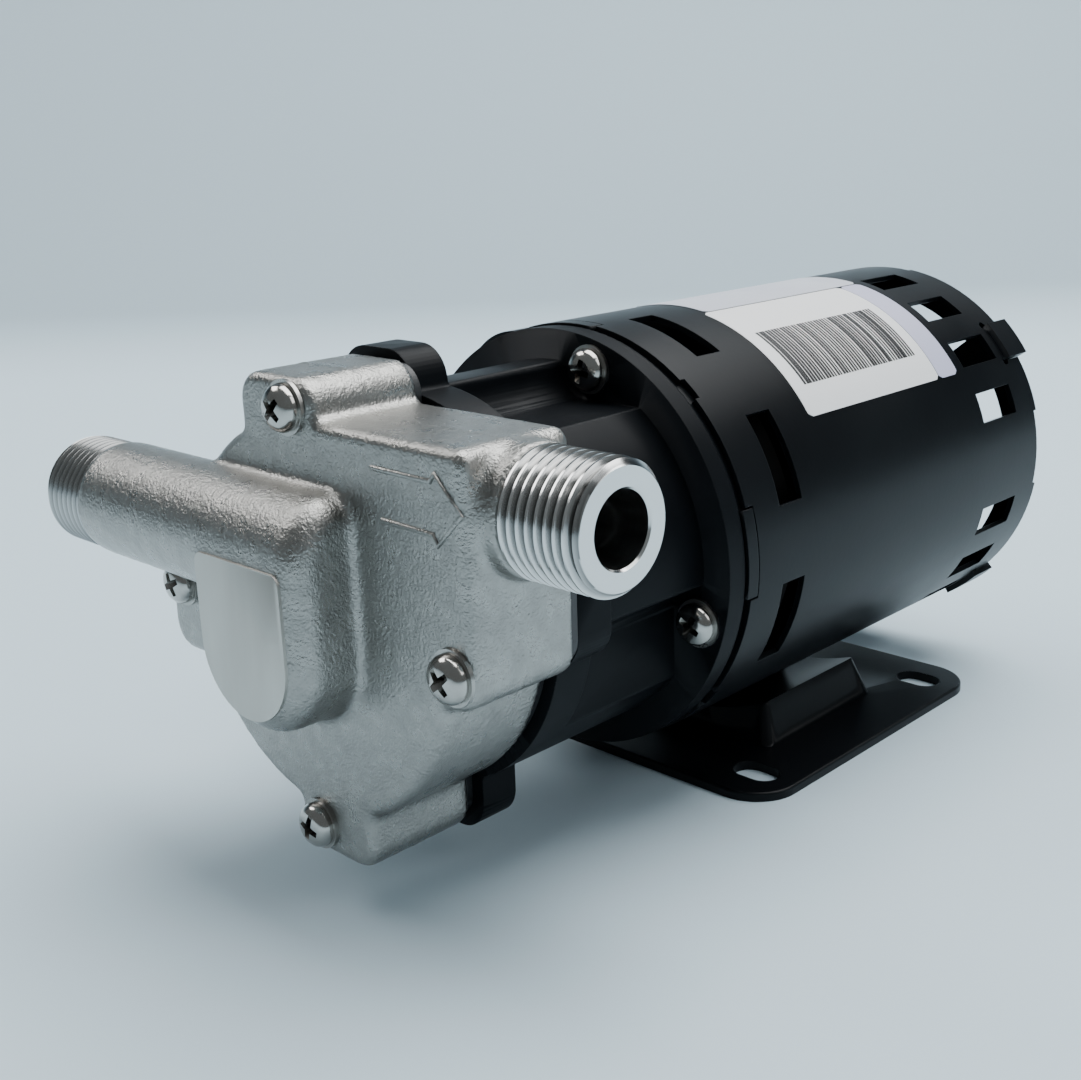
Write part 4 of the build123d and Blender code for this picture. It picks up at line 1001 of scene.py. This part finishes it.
can_moulding = finished(
    "can_moulding",
    ((0.020, 0.021, 0.023), (0.030, 0.031, 0.033)),
    (0.38, 0.52),
    patch=180.0,
    grain=2400.0,
    relief=0.008,
    edge=0.2,
)
ring_rubber = finished(
    "ring_rubber",
    ((0.012, 0.012, 0.012), (0.020, 0.020, 0.020)),
    (0.5, 0.65),
    patch=300.0,
    grain=3000.0,
    relief=0.006,
)
dressed("separator_can", "moulded_can", can_moulding, rolled=True)
redressed(ring_rubber, "head_o_ring", "wire_grommet")


# The bracket between head and motor is moulded in black glass-filled nylon. Its skin is satin, with
# faint flow marks from the mould, and every edge is a little rounded.
black_moulding = finished(
    "black_moulding",
    ((0.0026, 0.0034, 0.0046), (0.0046, 0.0058, 0.0074)),
    (0.34, 0.48),
    patch=45.0,
    grain=1700.0,
    relief=0.010,
    edge=0.35,
    shine=0.08,
)
dressed("adapter_bracket", "moulded_bracket", black_moulding, rolled=True)


# The motor's shell is rolled sheet steel with pierced vents and windows. It, the pressed end shield
# and the rear bracket are powder coated in satin black.
black_paint = finished(
    "black_paint",
    ((0.0022, 0.003, 0.0042), (0.0036, 0.0046, 0.006)),
    (0.30, 0.38),
    patch=35.0,
    grain=750.0,
    relief=0.012,
    edge=0.25,
    shine=0.15,
)
dressed("motor_shell", "rolled_shell", black_paint, rolled=True)
dressed("front_end_shield", "pressed_end_shield", black_paint, rolled=True)
dressed("rear_end_bracket", "pressed_rear_bracket", black_paint, rolled=True)


# Three printed paper labels are stuck on the shell's top: a white one with a bar pattern of its
# own, a narrow lilac strip behind it and a plain pale one over the crown. They are a tenth of a
# millimetre thick.
label_r, label_thickness, glue = 42.8 * mm, 0.1 * mm, 0.01 * mm
label_corner, row_crowding = 1.2 * mm, 0.9
white_label = (-22.4 * mm, 27.9 * mm, 33.2, 77.4)
lilac_label = (28.1 * mm, 36.0 * mm, 33.2, 77.4)
pale_label = (-20.9 * mm, 36.0 * mm, 77.9, 104.0)
bar_pitch, bar_count, bar_arc = 1.02 * mm, 42, (42.3, 62.8)
bar_start, ink_gap, ink_height = -18.3 * mm, 0.01 * mm, 0.02 * mm
narrowest_bar, widest_bar, bar_seed = 0.48, 0.94, 5


def wrapped(start_y, end_y, low_angle, high_angle, bottom, top, corner=0.0):
    """A thin sheet wrapped on the shell between two stations and two angles, its corners round."""
    skin = bmesh.new()
    steps = max(int(high_angle - low_angle), 4)
    reach = math.radians(high_angle - low_angle) * bottom
    rows = []
    for step in range(steps + 1):
        share = step / steps
        # the first and last few rows crowd together where the corners round off
        share += row_crowding / steps * math.sin(2 * math.pi * share) / math.pi
        from_end = min(share, 1 - share) * reach
        drop = corner - from_end if from_end < corner else 0
        narrow = corner - math.sqrt(max(corner**2 - drop**2, 0))
        angle = math.radians(low_angle + (high_angle - low_angle) * share)
        row = []
        for y, radius in (
            (start_y + narrow, bottom),
            (start_y + narrow, top),
            (end_y - narrow, top),
            (end_y - narrow, bottom),
        ):
            row.append(
                skin.verts.new(
                    (radius * math.cos(angle), y, shaft_height + radius * math.sin(angle))
                )
            )
        rows.append(row)
    join_rings(skin, rows)
    skin.faces.new(rows[0])
    skin.faces.new(rows[-1])
    bmesh.ops.recalc_face_normals(skin, faces=skin.faces)
    return skin


def label(name, place, material):
    """One paper label on the shell, from its two stations and two angles."""
    low_y, high_y, low_angle, high_angle = place
    top = label_r + label_thickness
    skin = wrapped(low_y, high_y, low_angle, high_angle, label_r + glue, top, label_corner)
    return fitted(linked(name, mesh_from(skin, name, sharp=30), material), steady, None)


for kind, place, tones, rough, patch in (
    ("white", white_label, ((0.93, 0.93, 0.93), (0.90, 0.90, 0.905)), (0.30, 0.42), 40.0),
    ("lilac", lilac_label, ((0.60, 0.60, 0.76), (0.54, 0.545, 0.71)), (0.30, 0.42), 40.0),
    ("pale", pale_label, ((0.66, 0.68, 0.74), (0.58, 0.60, 0.68)), (0.28, 0.40), 60.0),
):
    paper = finished(kind + "_paper", tones, rough, patch=patch, grain=1300.0, relief=0.006)
    label(kind + "_label", place, paper)

bars_tree, bars_in, bars_out, bars_keys = tree_with(
    "printed_bars",
    (
        ("Bar", "NodeSocketObject"),
        ("Bar Count", "NodeSocketInt"),
        ("Bar Pitch", "NodeSocketFloat"),
        ("Width Seed", "NodeSocketInt"),
        ("Ink", "NodeSocketMaterial"),
    ),
)
bars_new, bars_link = bars_tree.nodes.new, bars_tree.links.new
bar_line = bars_new("GeometryNodeMeshLine")
bar_step = bars_new("ShaderNodeCombineXYZ")
bar_shape = bars_new("GeometryNodeObjectInfo")
bar_width = bars_new("FunctionNodeRandomValue")
bar_width.data_type = "FLOAT"
bar_width.inputs[2].default_value = narrowest_bar
bar_width.inputs[3].default_value = widest_bar
bar_scale = bars_new("ShaderNodeCombineXYZ")
bar_scale.inputs["X"].default_value = 1.0
bar_scale.inputs["Z"].default_value = 1.0
bar_copies = bars_new("GeometryNodeInstanceOnPoints")
bars_link(bars_in.outputs["Bar Count"], bar_line.inputs["Count"])
bars_link(bars_in.outputs["Bar Pitch"], bar_step.inputs["Y"])
bars_link(bar_step.outputs[0], bar_line.inputs["Offset"])
bars_link(bars_in.outputs["Bar"], bar_shape.inputs["Object"])
bars_link(bars_in.outputs["Width Seed"], bar_width.inputs["Seed"])
bars_link(bar_width.outputs[1], bar_scale.inputs["Y"])
bars_link(bar_line.outputs["Mesh"], bar_copies.inputs["Points"])
bars_link(bar_shape.outputs["Geometry"], bar_copies.inputs["Instance"])
bars_link(bar_scale.outputs[0], bar_copies.inputs["Scale"])
close_tree(bars_tree, bar_copies.outputs[0], bars_in.outputs["Ink"], bars_out)

black_ink = finished(
    "black_ink",
    ((0.003, 0.003, 0.004), (0.006, 0.006, 0.007)),
    (0.32, 0.45),
    patch=500.0,
    grain=2500.0,
    relief=0.003,
)
bar_foot = label_r + label_thickness + ink_gap
bar_skin = wrapped(0, bar_pitch, *bar_arc, bar_foot, bar_foot + ink_height)
one_bar = linked("one_bar", mesh_from(bar_skin, "one_bar", sharp=30))
bars = grown(
    "label_bars",
    bpy.data.meshes.new("bars_start"),
    bars_tree,
    bars_keys,
    {
        "Bar": one_bar,
        "Bar Count": bar_count,
        "Bar Pitch": bar_pitch,
        "Width Seed": bar_seed,
        "Ink": black_ink,
    },
)
bpy.data.objects.remove(one_bar)
bars.data.transform(Matrix.Translation((0, bar_start, 0)))
fitted(bars, steady, None)


# The foot is one pressed sheet with four slots and a hollow saddle, welded under the shell and
# coated with it.
dressed("mounting_foot", "pressed_foot", black_paint)


# The terminal box on the motor's left side is a deep moulded tray with a screwed lid. A nylon gland
# lets the cable in from behind; inside are a run capacitor and a terminal block.
gland_nylon = finished(
    "gland_nylon",
    ((0.014, 0.014, 0.015), (0.022, 0.022, 0.023)),
    (0.30, 0.42),
    patch=120.0,
    grain=2000.0,
    relief=0.006,
    edge=0.25,
)
capacitor_case = finished(
    "capacitor_case",
    ((0.42, 0.43, 0.44), (0.36, 0.37, 0.38)),
    (0.35, 0.48),
    patch=90.0,
    grain=1500.0,
    relief=0.008,
)
block_moulding = finished(
    "block_moulding",
    ((0.05, 0.05, 0.052), (0.07, 0.07, 0.072)),
    (0.38, 0.5),
    patch=120.0,
    grain=2000.0,
    relief=0.006,
    edge=0.2,
)
dressed("terminal_box", "moulded_terminal_box", black_moulding)
dressed("terminal_box_lid", "moulded_box_lid", black_moulding)
dressed("cable_gland", "nylon_gland", gland_nylon)
redressed(gland_nylon, "gland_lock_nut")
redressed(capacitor_case, "run_capacitor")
redressed(block_moulding, "terminal_block", "cooling_fan")


# Inside the shell are the stator's stacked laminations with varnished windings, and the rotor with
# its cast end rings, shaft, bearings and fan. Little of them shows through the vents.
laminations = finished(
    "laminations",
    ((0.05, 0.05, 0.053), (0.03, 0.03, 0.032)),
    (0.42, 0.6),
    metallic=0.8,
    patch=40.0,
    grain=1400.0,
    relief=0.03,
    stretch=(0.05, 1.6, 0.05),
)
# the windings' varnish is near black, painted shade for the dark inside of the shell seen through
# the vents
shaded_varnished_wire = finished(
    "shaded_varnished_wire",
    ((0.010, 0.006, 0.005), (0.005, 0.004, 0.004)),
    (0.3, 0.5),
    metallic=0.5,
    patch=70.0,
    grain=900.0,
    relief=0.08,
    stretch=(0.25, 1.6, 0.25),
)
ring_casting = finished(
    "ring_casting",
    ((0.55, 0.56, 0.57), (0.45, 0.46, 0.47)),
    (0.4, 0.55),
    metallic=1.0,
    patch=120.0,
    grain=1600.0,
    relief=0.02,
)
ground_shaft = turned(
    "ground_shaft", (0.60, 0.60, 0.59), (0.16, 0.26), (0, 0, shaft_height), along_y=True
)
plated_steel = turned(
    "plated_steel", (0.58, 0.57, 0.54), (0.22, 0.34), (0, 0, shaft_height), along_y=True
)
dark_steel = finished(
    "dark_steel",
    ((0.09, 0.09, 0.095), (0.06, 0.06, 0.065)),
    (0.3, 0.45),
    metallic=0.9,
    patch=200.0,
    grain=1800.0,
    relief=0.006,
)
redressed(laminations, "stator_core", "rotor_core")
redressed(shaded_varnished_wire, "stator_windings")
redressed(ring_casting, "rotor_end_rings")
redressed(ground_shaft, "motor_shaft", "bearing_inner_races")
redressed(ground_shaft, "front_bearing_outer", "rear_bearing_outer")
redressed(plated_steel, "drive_cup")
redressed(dark_steel, "drive_cup_set_screw", "fan_clip")


# The magnetic coupling and the wet end: sintered magnets, a moulded impeller with its carbon bush
# and magnet cap, and ceramic for the pin and the thrust washers.
sintered_magnet = finished(
    "sintered_magnet",
    ((0.075, 0.075, 0.08), (0.05, 0.05, 0.054)),
    (0.45, 0.6),
    metallic=0.3,
    patch=150.0,
    grain=2200.0,
    relief=0.012,
)
white_ceramic = finished(
    "white_ceramic",
    ((0.78, 0.76, 0.70), (0.72, 0.70, 0.645)),
    (0.14, 0.24),
    patch=150.0,
    grain=2600.0,
    relief=0.003,
)
carbon_bush = finished(
    "carbon_bush",
    ((0.03, 0.03, 0.031), (0.045, 0.045, 0.046)),
    (0.36, 0.5),
    patch=200.0,
    grain=2600.0,
    relief=0.006,
)
redressed(sintered_magnet, "drive_magnets", "driven_magnet")
redressed(white_ceramic, "impeller_shaft", "front_thrust_washer", "rear_thrust_washer")
redressed(carbon_bush, "impeller_bush")
redressed(can_moulding, "impeller", "magnet_cap")
